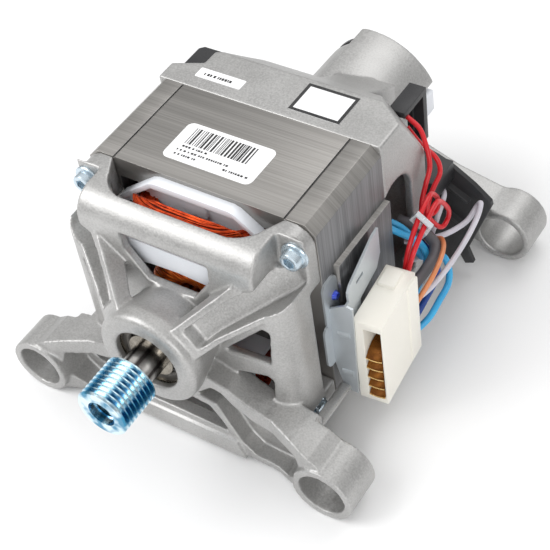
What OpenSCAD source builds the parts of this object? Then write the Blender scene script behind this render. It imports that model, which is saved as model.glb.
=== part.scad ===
// Washing machine drive motor: a brushed commutator motor with two cast end shields.
// The shaft lies along Y, the pulley points to -Y, +Z is up, and +X is the plug side.
// The origin is on the shaft axis, in the middle of the belt grooves.

/* [Stator stack] */
// Width of the square lamination stack
stack_w = 109; // [104:1:116]
// Height of the stack
stack_h = 106; // [102:1:112]
// Length of the stack along the shaft
stack_l = 50; // [44:1:58]
// Corner chamfer of the laminations
stack_chamfer = 4.5; // [2:0.5:6]
// Distance of the two long grooves from the stack's sides
groove_in = 13.5; // [11:0.5:18]
// Outward step of the middle of each side
side_step = 2.5; // [1:0.5:4]
// Where the side step starts behind the stack's front face
step_start = 9; // [8:1:14]
// Bore of the stack
stack_bore = 61.4; // [60.8:0.2:62]
// Distance from the belt's middle to the stack's front face
belt_to_stack = 70; // [68:1:74]

/* [Mounting lugs] */
// Distance between the left and right lug bores
lug_span = 148; // [146:1:156]
// Depth of the lug bores below the shaft
lug_drop = 49; // [47:1:52]
// Bore of each lug
lug_bore = 21.4; // [19:0.2:22]
// Outer diameter of each lug
lug_od = 28.2; // [27.4:0.2:30]
// Length of each lug
lug_l = 20; // [18:1:24]
// Distance from the belt's middle to the front lugs
belt_to_lug = 24; // [22:1:25]
// Distance from the front lugs' front face to the rear lugs' front face
lug_pitch_y = 162; // [160:1:166]

/* [Front shield] */
// Diameter of the bearing hub's front face
hub_d = 47; // [45:1:49]
// Diameter of the opening in the hub
hub_mouth_d = 29.8; // [28:0.2:31]
// Distance from the hub's front face to the bearing
hub_lip = 3.5; // [2.5:0.5:4]
// How far the hub's face stands in front of the lugs
hub_reach = 4.4; // [3:0.2:5]
// Depth of the front cage ahead of the stack
cage_l = 27; // [26:1:30]
// Wall of both castings
cast_wall = 4; // [3:0.5:5]
// Corner radius of the front columns
column_r = 10; // [8:1:12]
// Radius of the shield's upper corners, seen from the front
corner_r = 9; // [6:1:10]
// Radius of the band over the top window
band_r = 11; // [9:1:12]
// Thickness of the raised rims along the troughed arms
rim_t = 2.8; // [2:0.2:3.2]

/* [Rear shield] */
// Depth of the rear box behind the stack
rear_box_l = 37; // [36:1:40]
// Diameter of the rear hub
rear_hub_d = 52; // [50:1:54]
// Radius of the raised boss on the hub's upper right
boss_r = 34; // [32:0.5:35]
// Length of the rear hub behind the box
rear_hub_l = 51; // [50:1:54]

/* [Rotor] */
// Air gap between the armature and the poles
air_gap = 0.7; // [0.5:0.05:0.9]
// Slots of the armature
rotor_slots = 24; // [20:2:28]
// Shaft diameter at the front bearing
shaft_d = 15; // [14:0.5:16]
// Shaft diameter at the rear bearing
shaft_rear_d = 12; // [11:0.5:13]
// Shaft diameter inside the pulley
shaft_nose_d = 11; // [10:0.5:12]
// Commutator diameter
comm_d = 34; // [32:1:35]
// Commutator length
comm_l = 24; // [22:1:26]

/* [Pulley] */
// Outer diameter of the pulley
pulley_d = 23.4; // [22:0.2:25]
// Grooves of the pulley
pulley_grooves = 8; // [6:1:8]
// Spacing of the grooves
groove_pitch = 2.34; // [2.2:0.02:2.36]
// Plain rim at each end of the grooves
pulley_rim = 0.8; // [0.5:0.1:1.2]
// Diameter of the recess in the pulley's nose
nose_recess_d = 12.6; // [12.2:0.2:14]

/* [Bearings] */
// Front bearing outer diameter
fb_od = 35; // [34:1:37]
// Front bearing width
fb_w = 11; // [10:0.5:12]
// Rear bearing outer diameter
rb_od = 32; // [31:1:34]
// Rear bearing width
rb_w = 10; // [9:0.5:11]
// Ball diameter
ball_d = 5.95; // [5.5:0.05:6]
// Running gap between a ball and its races
ball_gap = 0.04; // [0.02:0.01:0.06]

/* [Brushes] */
// Carbon brush thickness
brush_t = 5; // [4.5:0.1:5.4]
// Carbon brush width along the shaft
brush_w = 12.5; // [11:0.5:13]
// Carbon brush length
brush_l = 26; // [24:1:28]
// Sliding gap of a brush in its tube
brush_gap = 0.1; // [0.06:0.02:0.2]
// Wall of the brass brush tube
tube_wall = 0.7; // [0.5:0.1:0.9]
// Travel of a brush against its spring
brush_travel = 3; // [2:0.5:4]

/* [Fasteners] */
// Tie screw diameter
tie_d = 5; // [4:0.5:5.4]
// Distance of the tie screws from the stack's sides
tie_in_x = 4.5; // [4:0.5:5.5]
// Distance of the tie screws from the stack's top and bottom
tie_in_z = 8.5; // [7.5:0.5:9]
// Washer diameter
washer_d = 12; // [11:0.5:12.4]
// Screw head diameter
head_d = 8.6; // [8:0.2:9]

/* [Plug and bracket] */
// Width of the plug housing
plug_w = 13; // [12.5:0.5:15]
// Length of the plug housing along the shaft
plug_l = 33; // [30:1:35]
// Height of the plug housing
plug_h = 48; // [46:1:50]
// Ways in the plug
plug_ways = 7; // [6:1:7]
// Thickness of the bracket sheet
sheet_t = 1; // [0.8:0.1:1.2]
// Gap between the stack's side and the plug's mounting plate
plug_stand = 5.5; // [5:0.5:7]

/* [Leads] */
// Diameter of a thin lead
lead_d = 2.2; // [1.8:0.1:2.4]
// Diameter of the grey sleeve
sleeve_d = 5; // [4.4:0.2:5.4]

/* [Hidden] */
$fn = 64;

// Places along the shaft
stack_y = belt_to_stack;
stack_end = stack_y + stack_l;
half_w = stack_w / 2;
half_h = stack_h / 2;
side_x = half_w + side_step;
groove_x = half_w - groove_in;
tie_x = half_w - tie_in_x;
tie_z = half_h - tie_in_z;
cage_front = stack_y - cage_l;
hub_face = belt_to_lug - hub_reach;
fb_y = hub_face + hub_lip;
box_end = stack_end + rear_box_l;
hub_end = box_end + rear_hub_l;
rear_lug_y = belt_to_lug + lug_pitch_y;
lug_x = lug_span / 2;
comm_y = box_end - 7;
brush_y = comm_y + comm_l / 2 + 1;
rb_y = comm_y + comm_l + 10;
rotor_r = stack_bore / 2 - air_gap;

// Outlines and directions
function arc(cx, cy, r, from, to, n = 10) =
    [for (i = [0:n]) let (a = from + (to - from) * i / n) [cx + r * cos(a), cy + r * sin(a)]];

module along_y(y, length) translate([0, y + length, 0]) rotate([90, 0, 0]) linear_extrude(length) children();
module along_x(x, length) translate([x, 0, 0]) rotate([90, 0, 90]) linear_extrude(length) children();
module about_y() rotate([-90, 0, 0]) rotate_extrude() children();
module rod_y(x, z, d, y, length) translate([x, y, z]) rotate([-90, 0, 0]) cylinder(d = d, h = length);
module both_sides() {
    children();
    mirror([1, 0, 0]) children();
}
module block(x0, x1, y0, y1, z0, z1) translate([x0, y0, z0]) cube([x1 - x0, y1 - y0, z1 - z0]);

// A box with rounded upright corners at its low Y end, as a plan outline
module plan_front(half, front, back, r)
    polygon(concat([[half, back], [-half, back]],
        arc(-half + r, front + r, r, 180, 270), arc(half - r, front + r, r, 270, 360)));
// The same box seen from the side, rounded at the top and bottom of that end
module side_front(half, front, back, r)
    polygon(concat([[back, half], [back, -half]],
        arc(front + r, -half + r, r, 270, 180), arc(front + r, half - r, r, 180, 90)));

// Front end shield
arm_angle = atan2(tie_z, tie_x);
arm_reach = norm([tie_x, tie_z]) + 9;
screw_seat = stack_y - 8;
arm_rise = (screw_seat - 8 - belt_to_lug) / (norm([tie_x, tie_z]) - hub_d / 2);
seat_x = tie_x - washer_d / 2 - 2;
floor_d = 5;
floor_rise = (screw_seat - belt_to_lug - floor_d) / (arm_reach - 15 - hub_d / 2);
arm_front = belt_to_lug + 2;
arm_back = cage_front + cast_wall;
arm_foot = arm_front + 7;
hub_r = hub_d / 2;
lug_r = lug_od / 2;

// Outline of an upper arm, drawn along its own length and then turned to its corner
module upper_arm_plan() rotate(arm_angle)
    polygon([[hub_r - 6, 6.5], [hub_r + 34, 6.5], [hub_r + 44, 9], [arm_reach, 12], [arm_reach, -14],
        [hub_r + 43, -15], [hub_r + 34, -15.4], [hub_r + 24, -13.1], [hub_r + 9, -9.6], [hub_r - 6, -9]]);
// Outline of the trough in it, which ends under the tie screw's seat
module trough_plan() rotate(arm_angle)
    polygon([[hub_r - 6, 6.5 - rim_t], [hub_r + 20, 5.9 - rim_t], [hub_r + 33, 0.5], [hub_r + 44, -8.5],
        [arm_reach - rim_t, -14 + rim_t], [hub_r + 43, -15 + rim_t], [hub_r + 34, -15.4 + rim_t],
        [hub_r + 24, -13.1 + rim_t], [hub_r + 9, -9.6 + rim_t], [hub_r - 6, -9 + rim_t]]);
// Cone that the arms' rims or floors follow, down to a back plane
module arm_cone(depth, back, rise) about_y()
    polygon([[hub_r - 8, belt_to_lug + depth], [hub_r, belt_to_lug + depth],
        [arm_reach + 6, belt_to_lug + depth + rise * (arm_reach + 6 - hub_r)],
        [arm_reach + 6, back], [hub_r - 8, back]]);
module upper_arm() intersection() {
    along_y(hub_face, stack_y - hub_face) intersection() {
        upper_arm_plan();
        square([stack_w, stack_h], center = true);
    }
    difference() {
        arm_cone(0, stack_y + 40, arm_rise);
        arm_cone(floor_d + cast_wall, stack_y + 60, floor_rise);
    }
    block(-half_w, half_w, hub_face, screw_seat + 1, -half_h, half_h);
}
module upper_arm_trough() {
    intersection() {
        along_y(hub_face - 1, screw_seat - hub_face + 1) trough_plan();
        difference() {
            arm_cone(-20, stack_y + 40, arm_rise);
            arm_cone(floor_d, stack_y + 60, floor_rise);
        }
        about_y() translate([hub_r + 3, -stack_y]) square([arm_reach, 3 * stack_y]);
    }
    // Seat of the tie screw, open at the outer side
    block(seat_x, half_w + 1, hub_face, screw_seat, tie_z - washer_d / 2 - 1, half_h + 1);
}

// Outline of a lower arm, from the hub down to its lug
module lower_arm_plan() {
    polygon([[hub_r - 12, -13], [hub_r + 3, -18], [hub_r + 11, -22.5], [hub_r + 20, -26], [hub_r + 35, -28.5],
        [lug_x - 6, -lug_drop + 18], [lug_x, -lug_drop + lug_r], [lug_x, -lug_drop - lug_r],
        [lug_x - 12, -lug_drop - 12.5], [lug_x - 27, -lug_drop - 13], [hub_r + 10, -lug_drop - 12],
        [hub_r + 4, -lug_drop - 7], [hub_r - 3, -lug_drop + 7], [hub_r - 8, -35], [hub_r - 18, -34], [hub_r - 22, -21]]);
}
module lower_arm_pocket() {
    polygon([[hub_r - 5, -21.5], [hub_r, -22.5], [hub_r + 5, -27.5], [hub_r + 14, -33], [hub_r + 24, -35],
        [hub_r + 34, -36.5], [lug_x - 14, -lug_drop + 12], [lug_x - 12.5, -lug_drop + 7],
        [lug_x - 14, -lug_drop - 3], [lug_x - 21, -lug_drop - 9.5], [lug_x - 28, -lug_drop - 9.5],
        [hub_r + 12, -lug_drop - 8.5], [hub_r + 6, -lug_drop - 3], [hub_r, -lug_drop + 9],
        [hub_r - 4, -lug_drop + 17], [hub_r - 8, -31], [hub_r - 14, -30]]);
}
// A lower arm, whose front face runs back from the lug to the foot of the hub
module lower_arm() intersection() {
    along_y(arm_front, arm_back - arm_front) lower_arm_plan();
    translate([0, 0, -lug_drop - lug_r - 1]) linear_extrude(lug_drop + lug_r) polygon([[0, arm_back],
        [0, arm_foot], [half_w - 8, arm_foot], [lug_x - 7, arm_front], [lug_x + 1, arm_front], [lug_x + 1, arm_back]]);
}
module lug(y) translate([lug_x, y, -lug_drop]) rotate([-90, 0, 0]) cylinder(d = lug_od, h = lug_l);
module lug_ring(y) translate([lug_x, y, -lug_drop]) rotate([-90, 0, 0]) cylinder(d = lug_bore, h = lug_l);

module front_windows() {
    top = half_h - 11;
    along_y(cage_front - 12, cage_l + 6)
        polygon([[-21, top], [21, top], [20.5, top - 9], [11, top - 22.5], [-11, top - 22.5], [-20.5, top - 9]]);
    both_sides() {
        along_y(cage_front - 12, cage_l + 6)
            polygon([[hub_r - 2, -6], [half_w - 11.5, 17], [half_w - 8.5, 16], [half_w - 10.5, -3.5]]);
        along_y(cage_front - 12, cage_l + 6)
            polygon([[hub_r - 4, -19], [half_w - 13, -12.5], [half_w - 10.5, -14], [half_w - 12.5, -34]]);
    }
    along_y(cage_front - 1, cage_l - 4)
        polygon([[-hub_r + 8, -28], [hub_r - 8, -28], [hub_r + 4, -half_h + 12], [-hub_r - 4, -half_h + 12]]);
}
module top_window() polygon(concat([[groove_x, stack_y + 1], [-groove_x, stack_y + 1], [-groove_x, stack_y - 1]],
    arc(-groove_x + 18, cage_front + 24, 15, 200, 270), arc(groove_x - 18, cage_front + 24, 15, 270, 340),
    [[groove_x, stack_y - 1]]));
module front_cage() difference() {
    intersection() {
        along_y(cage_front - 1, cage_l + 2) polygon(concat(
            arc(half_w - corner_r, half_h - corner_r, corner_r, 0, 90, 6),
            arc(-half_w + corner_r, half_h - corner_r, corner_r, 90, 180, 6),
            [[-half_w, -half_h], [half_w, -half_h]]));
        translate([0, 0, -half_h]) linear_extrude(stack_h) plan_front(half_w, cage_front, stack_y, column_r);
        along_x(-half_w, stack_w) side_front(half_h, cage_front, stack_y, band_r);
    }
    intersection() {
        translate([0, 0, -half_h]) linear_extrude(stack_h)
            plan_front(half_w - cast_wall, cage_front + cast_wall, stack_y + 1, column_r - cast_wall);
        along_x(-half_w, stack_w)
            side_front(half_h - cast_wall, cage_front + cast_wall, stack_y + 1, band_r - cast_wall);
        union() {
            block(-half_w, half_w, cage_front, stack_y + 1, -tie_z + 10, tie_z - 10);
            block(-tie_x + 10, tie_x - 10, cage_front, stack_y + 1, -half_h, half_h);
        }
    }
    front_windows();
    // Wide window in the top, over the field coil
    translate([0, 0, half_h - 16]) linear_extrude(18) top_window();
    // The same window underneath
    translate([0, 0, -half_h - 2]) linear_extrude(18) top_window();
    // Openings in the side walls
    both_sides() block(half_w - column_r, half_w + 1, stack_y - 8, stack_y + 1, -lug_drop + 13, tie_z - 20);
}
module front_hub() about_y() polygon(concat([[0, hub_face]], arc(hub_r - 3, hub_face + 3, 3, -90, 0, 6),
    [[hub_r, belt_to_lug + 3], [hub_r - 4, cage_front], [hub_r - 4, cage_front + cast_wall], [0, cage_front + cast_wall]]));
// Holes for the tie screws
module front_screw_holes() both_sides() {
    for (z = [-tie_z, tie_z]) rod_y(tie_x, z, tie_d + 0.4, hub_face, cage_l + lug_l + 20);
    rod_y(tie_x, -tie_z, washer_d + 2, hub_face, screw_seat - hub_face);
}
module front_shield() color([0.74, 0.74, 0.73]) difference() {
    union() {
        front_cage();
        front_hub();
        both_sides() upper_arm();
    }
    both_sides() upper_arm_trough();
    front_screw_holes();
    // Mouth, bearing seat and the space behind it
    rod_y(0, 0, hub_mouth_d, hub_face - 1, 10);
    rod_y(0, 0, fb_od, fb_y, cage_l + 20);
}
// The lower arms with their lugs, which are cast in one with the front shield
module front_arms() color([0.74, 0.74, 0.73]) difference() {
    union() {
        both_sides() {
            lower_arm();
            lug(belt_to_lug);
            // Rail from the lug back along the stack's side
            difference() {
                block(side_x + 0.4, side_x + 5.4, arm_front + 8, stack_y + 0.4, -lug_drop + 5, -lug_drop + 13);
                block(side_x + 2, side_x + 6, arm_front + 20, stack_y + 1, -lug_drop + 4, -lug_drop + 11);
            }
        }
        // Rail under the hub, joining the two arms
        along_y(arm_foot, 6) polygon([[-hub_r - 2, -lug_drop + 1], [hub_r + 2, -lug_drop + 1],
            [hub_r + 10, -lug_drop - 11], [-hub_r - 10, -lug_drop - 11]]);
        along_y(arm_foot - 2, 3) polygon([[-hub_r - 4, -lug_drop - 2], [hub_r + 4, -lug_drop - 2],
            [hub_r + 8, -lug_drop - 11.5], [-hub_r - 8, -lug_drop - 11.5]]);
    }
    both_sides() {
        along_y(arm_front - 3, arm_back - arm_front - 3) lower_arm_pocket();
        lug_ring(belt_to_lug - 1);
        lug_ring(belt_to_lug + 1);
        // The arm stops where the lug's rear face is
        block(side_x + 5.6, lug_x + 1, belt_to_lug + lug_l, arm_back + 1, -lug_drop - lug_r - 1, 0);
    }
    front_cage();
    front_hub();
    front_screw_holes();
}

// Rear end shield
brush_port = brush_t + 2 * tube_wall + 2 * brush_gap + 4.6;
holder_w = brush_w + 2 * tube_wall + 2 * brush_gap + 3.2;

module rear_outline(inset) polygon([[half_w - inset, stack_end], [half_w - inset, box_end - 3 - inset],
    [half_w - 3 - inset, box_end - inset], [-26 + inset / 2, box_end - inset], [-31, box_end - 6 - inset],
    [-groove_x + inset, box_end - 13 - inset], [-groove_x + inset, box_end - 21 - inset],
    [-half_w + inset, box_end - 27 - inset], [-half_w + inset, stack_end]]);
module rear_profile(inset) polygon([[stack_end, half_h - inset], [box_end - 12, half_h - inset],
    [box_end - inset, half_h - 9 - inset], [box_end - inset, -half_h + 9 + inset],
    [box_end - 8, -half_h + inset], [stack_end, -half_h + inset]]);
// Box outline with its upper right rear corner cut off
module rear_mass(inset) difference() {
    intersection() {
        translate([0, 0, -half_h]) linear_extrude(stack_h) rear_outline(inset);
        along_x(-half_w, stack_w) rear_profile(inset);
    }
    translate([half_w, box_end - 17.5, half_h - 6]) rotate([0, -27, 53]) translate([-inset, -stack_w, -stack_w])
        cube(2 * stack_w);
}
module rear_box() difference() {
    rear_mass(0);
    intersection() {
        rear_mass(cast_wall);
        union() {
            block(-half_w, half_w, stack_end - 1, box_end, -tie_z + 8.5, tie_z - 8.5);
            block(-tie_x + 8.5, tie_x - 8.5, stack_end - 1, box_end, -half_h, half_h);
        }
    }
    block(-tie_x + 9, tie_x - 9, stack_end - 1, stack_end + 1, -half_h + 4, half_h - 4);
    // Arched openings in both sides
    both_sides() {
        block(half_w - 8, half_w + 1, stack_end - 1, stack_end + 22, -36, 16);
        along_x(half_w - 8, 9) intersection() {
            translate([stack_end + 9, 14]) circle(r = 13);
            translate([stack_end - 1, 14]) square([24, 14]);
        }
    }
    // Opening underneath
    block(-28, 28, stack_end + 8, box_end - 12, -half_h - 1, -half_h + 6);
}
module boss_plan() intersection() {
    circle(r = boss_r);
    polygon([[0, 0], [60, 28], [60, 60], [-9, 60]]);
}
module rear_arm_plan() polygon([[10, -14], [24, -22], [44, -30], [lug_x - 8, -lug_drop + lug_r],
    [lug_x, -lug_drop + lug_r], [lug_x, -lug_drop - lug_r], [lug_x - 10, -lug_drop - 11],
    [44, -lug_drop - 3], [26, -lug_drop + 6], [6, -rear_hub_d / 2 + 2]]);
module rear_arm_pocket() polygon([[36, -32], [44, -34], [lug_x - 15, -lug_drop + 10],
    [lug_x - 13, -lug_drop], [lug_x - 18, -lug_drop - 5], [46, -lug_drop], [34, -lug_drop + 6]]);
module rear_shield() color([0.72, 0.71, 0.70]) difference() {
    union() {
        rear_box();
        about_y() polygon([[0, box_end - 6], [rear_hub_d / 2 + 1, box_end - 6],
            [rear_hub_d / 2 + 0.5, box_end], [rear_hub_d / 2, hub_end - 3], [rear_hub_d / 2 - 3, hub_end], [0, hub_end]]);
        both_sides() {
            along_y(rear_lug_y + 1.5, lug_l - 3) rear_arm_plan();
            lug(rear_lug_y);
            // Web between the hub and the box
            block(19.5, 23, box_end - 6, rear_lug_y + 4, -32, -8);
        }
        // Raised boss on the hub, and the shoulder that runs into it from the box
        along_y(box_end - 8, hub_end - 2 - box_end + 8) boss_plan();
        along_x(2, 25) polygon([[box_end - 12, half_h - 3], [box_end - 8, half_h - 4.5], [box_end + 12, 36],
            [box_end + 22, 31], [box_end + 22, 18], [box_end - 12, 18]]);
    }
    both_sides() {
        along_y(rear_lug_y, lug_l - 7) rear_arm_pocket();
        lug_ring(rear_lug_y - 1);
        lug_ring(rear_lug_y + 1);
        for (z = [-tie_z, tie_z]) rod_y(tie_x, z, tie_d, stack_end - 1, 13);
        // Ports for the brush holders
        block(comm_d / 2 - 2, half_w + 5, brush_y - holder_w / 2 - 0.2, brush_y + holder_w / 2 + 0.2,
            -brush_port / 2 - 0.2, brush_port / 2 + 0.2);
    }
    // Room for the commutator, bearing seat and tacho chamber
    rod_y(0, 0, rear_hub_d - 2 * cast_wall, box_end - 8, rb_y - 5 - box_end + 8);
    rod_y(0, 0, rb_od - 5, box_end - 8, hub_end);
    rod_y(0, 0, rb_od, rb_y - 1, hub_end);
    rod_y(0, 0, rear_hub_d - 2 * cast_wall, rb_y + rb_w + 3, hub_end);
    for (a = [45, 225]) rod_y(cap_ring * cos(a), cap_ring * sin(a), 2.4, hub_end - 7.5, 8);
}

// Lamination stack
pole_w = 45;
slot_w = groove_x - 1 - pole_w / 2;
slot_h = half_h - 15;
module stack_section(step) difference() {
    union() {
        polygon([[half_w - stack_chamfer, half_h], [half_w, half_h - stack_chamfer],
            [half_w, -half_h + stack_chamfer], [half_w - stack_chamfer, -half_h],
            [-half_w + stack_chamfer, -half_h], [-half_w, -half_h + stack_chamfer],
            [-half_w, half_h - stack_chamfer], [-half_w + stack_chamfer, half_h]]);
        square([2 * (half_w + step), 2 * (half_h - 28)], center = true);
    }
    circle(d = stack_bore, $fn = 128);
    // Slots for the field coils, left and right of each pole
    for (sx = [-1, 1], sz = [-1, 1]) difference() {
        translate([sx * (pole_w / 2 + slot_w / 2), sz * (5 + slot_h / 2)]) square([slot_w, slot_h], center = true);
        circle(d = stack_bore + 6, $fn = 128);
    }
    intersection() {
        circle(d = stack_bore + 7, $fn = 128);
        square([stack_w, 20], center = true);
    }
    // Long grooves in the outer faces, and the tie screw holes
    for (sx = [-1, 1], sz = [-1, 1]) {
        translate([sx * groove_x, sz * half_h]) square([0.8, 1.6], center = true);
        translate([sx * tie_x, sz * tie_z]) circle(d = tie_d + 0.4);
    }
}
module stator_core() color([0.52, 0.50, 0.48]) {
    along_y(stack_y, step_start) stack_section(0);
    along_y(stack_y + step_start, stack_l - step_start) stack_section(side_step);
}

// Field coil formers and windings; the lower ones are the upper ones turned half a turn
former_l = 16;
former_t = 1.6;
lip_z = rotor_r - 2.8;
coil_low = stack_bore / 2 - 1;
coil_high = half_h - 13.5;
coil_in = pole_w / 2 + former_t + 0.8;
coil_wall = 5;
coil_d = 0.85;
coil_loops = 7;
coil_rings = 24;
coil_pitch = (coil_high - coil_low - coil_d) / coil_loops;
coil_gap = 0.1;

module former_plate() polygon([[-groove_x + 2, half_h - 20], [-groove_x + 3, half_h - 16], [-21, half_h - 3],
    [-18, half_h - 2], [18, half_h - 2], [21, half_h - 3], [groove_x - 3, half_h - 16],
    [groove_x - 2, half_h - 20], [pole_w / 2, half_h - 25], [-pole_w / 2, half_h - 25]]);
module former_end() {
    // End wall against the stack, with a raised rim round it and a way for the coil on each side
    difference() {
        along_y(stack_y - former_t, former_t) former_plate();
        both_sides() block(coil_in - 0.6, coil_x + 1.5, stack_y - former_t - 1, stack_y + 1, coil_low - 1, coil_high + 1.5);
    }
    along_y(stack_y - former_t - 3.4, 3.6) difference() {
        former_plate();
        polygon([[-groove_x + 4.6, half_h - 30], [-groove_x + 5, half_h - 17], [-20, half_h - 5],
            [20, half_h - 5], [groove_x - 5, half_h - 17], [groove_x - 4.6, half_h - 30]]);
    }
    // Inner flange and the lip that holds the end turns
    block(-25, 25, stack_y - former_l - 3.5, stack_y, lip_z, lip_z + former_t);
    along_y(stack_y - former_l - 5, former_t)
        polygon([[-25, lip_z + 6.5], [25, lip_z + 6.5], [28.5, lip_z + 3], [28.5, lip_z - 5], [25, lip_z - 7],
            [14, lip_z - 4.6], [0, lip_z - 3.8], [-14, lip_z - 4.6], [-25, lip_z - 7], [-28.5, lip_z - 5], [-28.5, lip_z + 3]]);
    block(-pole_w / 2 + 1, pole_w / 2 - 1, stack_y - former_t, stack_y, lip_z, half_h - 22);
    block(-5, 5, stack_y - former_t - 1.6, stack_y, coil_high + 0.2, half_h - 4);
}
module former() {
    former_end();
    translate([0, 2 * stack_y + stack_l, 0]) mirror([0, 1, 0]) intersection() {
        former_end();
        block(-half_w, half_w, 0, stack_y, 0, half_h - cast_wall - 0.4);
    }
    // Slot liners along the pole's flanks
    both_sides() block(pole_w / 2 + 0.1, pole_w / 2 + 0.1 + former_t, stack_y - 0.1, stack_end + 0.1,
        coil_low - 2, half_h - 11);
}
module bobbin_top() color([0.88, 0.89, 0.90]) former();
module bobbin_bottom() color([0.88, 0.89, 0.90]) rotate([0, 180, 0]) former();

// Points of a closed form's route, and a tube swept along them
function unit(v) = v / norm(v);
function heading(p, i) = unit(p[min(i + 1, len(p) - 1)] - p[max(i - 1, 0)]);
function square_to(n, t) = unit(n - (n * t) * t);
function side_ways(p) = let (t = heading(p, 0), start = square_to(abs(t[2]) < 0.9 ? [0, 0, 1] : [1, 0, 0], t))
    [for (i = 0, n = start; i < len(p); i = i + 1, n = square_to(n, heading(p, min(i, len(p) - 1)))) n];
module tube(p, d, sides = 6) {
    n = side_ways(p);
    rings = [for (i = [0:len(p) - 1]) let (t = heading(p, i), b = cross(t, n[i]))
        for (k = [0:sides - 1]) let (a = 360 * k / sides) p[i] + d / 2 * (cos(a) * n[i] + sin(a) * b)];
    last = (len(p) - 1) * sides;
    walls = [for (i = [0:len(p) - 2], k = [0:sides - 1]) let (a = i * sides + k, b = i * sides + (k + 1) % sides)
        each [[a, b, b + sides], [a, b + sides, a + sides]]];
    caps = [for (k = [1:sides - 2]) each [[0, k + 1, k], [last, last + k, last + k + 1]]];
    polyhedron(points = rings, faces = [for (f = concat(walls, caps)) [f[0], f[2], f[1]]]);
}
// Least clear space between stretches of one tube that are more than skip points apart
function to_stretch(q, a, b) = let (t = max(0, min(1, (q - a) * (b - a) / ((b - a) * (b - a))))) norm(q - a - t * (b - a));
function least_gap(p, d, skip) = min([for (i = [0:len(p) - skip - 2], j = [i + skip:len(p) - 2])
    to_stretch(p[i], p[j], p[j + 1])]) - d;

// Field coil: one layer of turns round a plain core, spread upwards at both ends
coil_x = coil_in + coil_wall + coil_gap + coil_d / 2;
coil_y = stack_l / 2 + former_l + coil_gap + coil_d / 2;
coil_spread = 6.5;
function end_share(y) = let (s = max(0, min(1, (abs(y) - stack_l / 2 - 5) / 5))) s * s * (3 - 2 * s);
function bulge(c) = sign(c) * pow(abs(c), 0.5);
coil_route = [for (i = [0:coil_loops * coil_rings]) let (t = i / coil_rings, a = 360 * t,
    x = coil_x * bulge(cos(a)), y = coil_y * bulge(sin(a)))
    [x, stack_y + stack_l / 2 + y, coil_low + coil_d / 2 + t * (coil_pitch + end_share(y) * coil_spread / coil_loops)]];
echo(str("Least gap of a field coil to itself, in mm: ", least_gap(coil_route, coil_d, coil_rings / 2)));

module coil_core() {
    inner = coil_in;
    outer = coil_in + coil_wall;
    far = stack_l / 2 + former_l;
    near = stack_l / 2 + 5.4;
    translate([0, stack_y + stack_l / 2, coil_low]) {
        linear_extrude(coil_high - coil_low) difference() {
            polygon(core_outline(outer, far));
            square([2 * inner, 2 * near], center = true);
        }
    }
    // Taller at the ends, where the turns fan out
    for (m = [0, 1]) translate([0, m * (2 * stack_y + stack_l), 0]) mirror([0, m, 0])
        translate([0, 0, coil_low]) linear_extrude(coil_high - coil_low + coil_spread - 0.6) intersection() {
            translate([0, stack_y + stack_l / 2]) polygon(core_outline(outer, far));
            translate([-outer + 5, stack_y - former_l - 1]) square([2 * outer - 10, former_l - 5.4 + 1]);
        }
}
function core_outline(hx, hy) = [for (i = [0:47]) let (a = 360 * i / 48) [hx * bulge(cos(a)), hy * bulge(sin(a))]];
module field_coil() {
    coil_core();
    tube(coil_route, coil_d);
}
module field_coil_top() color([0.72, 0.27, 0.10]) field_coil();
module field_coil_bottom() color([0.72, 0.27, 0.10]) rotate([0, 180, 0]) field_coil();

// Armature
shaft_r = shaft_d / 2;
rear_r = shaft_rear_d / 2;
nose_r = shaft_nose_d / 2;
core_r = shaft_r + 0.5;
pulley_l = pulley_grooves * groove_pitch + 2 * pulley_rim;
shaft_tip = -pulley_l / 2 + 4;
tacho_y = rb_y + rb_w + 4;
tacho_l = 8;
fit_gap = 0.02;
comm_hub_r = comm_d / 2 - 5;

module shaft() color([0.63, 0.64, 0.66]) about_y() polygon([[0, shaft_tip], [nose_r - 0.7, shaft_tip],
    [nose_r, shaft_tip + 0.7], [nose_r, pulley_l / 2 + 0.2], [shaft_r - 0.5, pulley_l / 2 + 0.2],
    [shaft_r, pulley_l / 2 + 0.7], [shaft_r, fb_y + fb_w], [shaft_r + 1.5, fb_y + fb_w],
    [shaft_r + 1.5, fb_y + fb_w + 4], [core_r, fb_y + fb_w + 4], [core_r, comm_y + comm_l + 2],
    [rear_r + 1.5, comm_y + comm_l + 2], [rear_r + 1.5, rb_y], [rear_r, rb_y], [rear_r, rb_y + rb_w + 1],
    [rear_r - 1, rb_y + rb_w + 2], [rear_r - 1, tacho_y + tacho_l + 1], [0, tacho_y + tacho_l + 1]]);
groove_depth = 1.9;
module drive_pulley() color([0.70, 0.80, 0.86]) about_y() let (y0 = -pulley_l / 2, y1 = pulley_l / 2, r = pulley_d / 2)
    polygon(concat([[nose_recess_d / 2, y0], [nose_recess_d / 2, y0 + 3.6], [nose_r, y0 + 3.6], [nose_r, y1],
        [r - 0.6, y1], [r, y1 - 0.4]],
        [for (i = [0:pulley_grooves - 1]) let (y = y1 - pulley_rim - i * groove_pitch)
            each [[r, y - 0.25], [r - groove_depth, y - groove_pitch / 2 + 0.2],
                [r - groove_depth, y - groove_pitch / 2 - 0.2], [r, y - groove_pitch + 0.25]]],
        [[r, y0 + 0.6], [r - 0.6, y0]]));
module armature_core() color([0.45, 0.43, 0.41]) along_y(stack_y, stack_l) difference() {
    circle(r = rotor_r, $fn = 128);
    circle(r = core_r);
    for (i = [0:rotor_slots - 1]) rotate(360 * i / rotor_slots) {
        translate([rotor_r - 7.5, 0]) circle(d = 3.6, $fn = 24);
        translate([rotor_r - 7.5, -1.4]) square([5.5, 2.8]);
        translate([rotor_r - 3, -0.8]) square([4, 1.6]);
    }
}
disc_t = 1.4;
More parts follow.
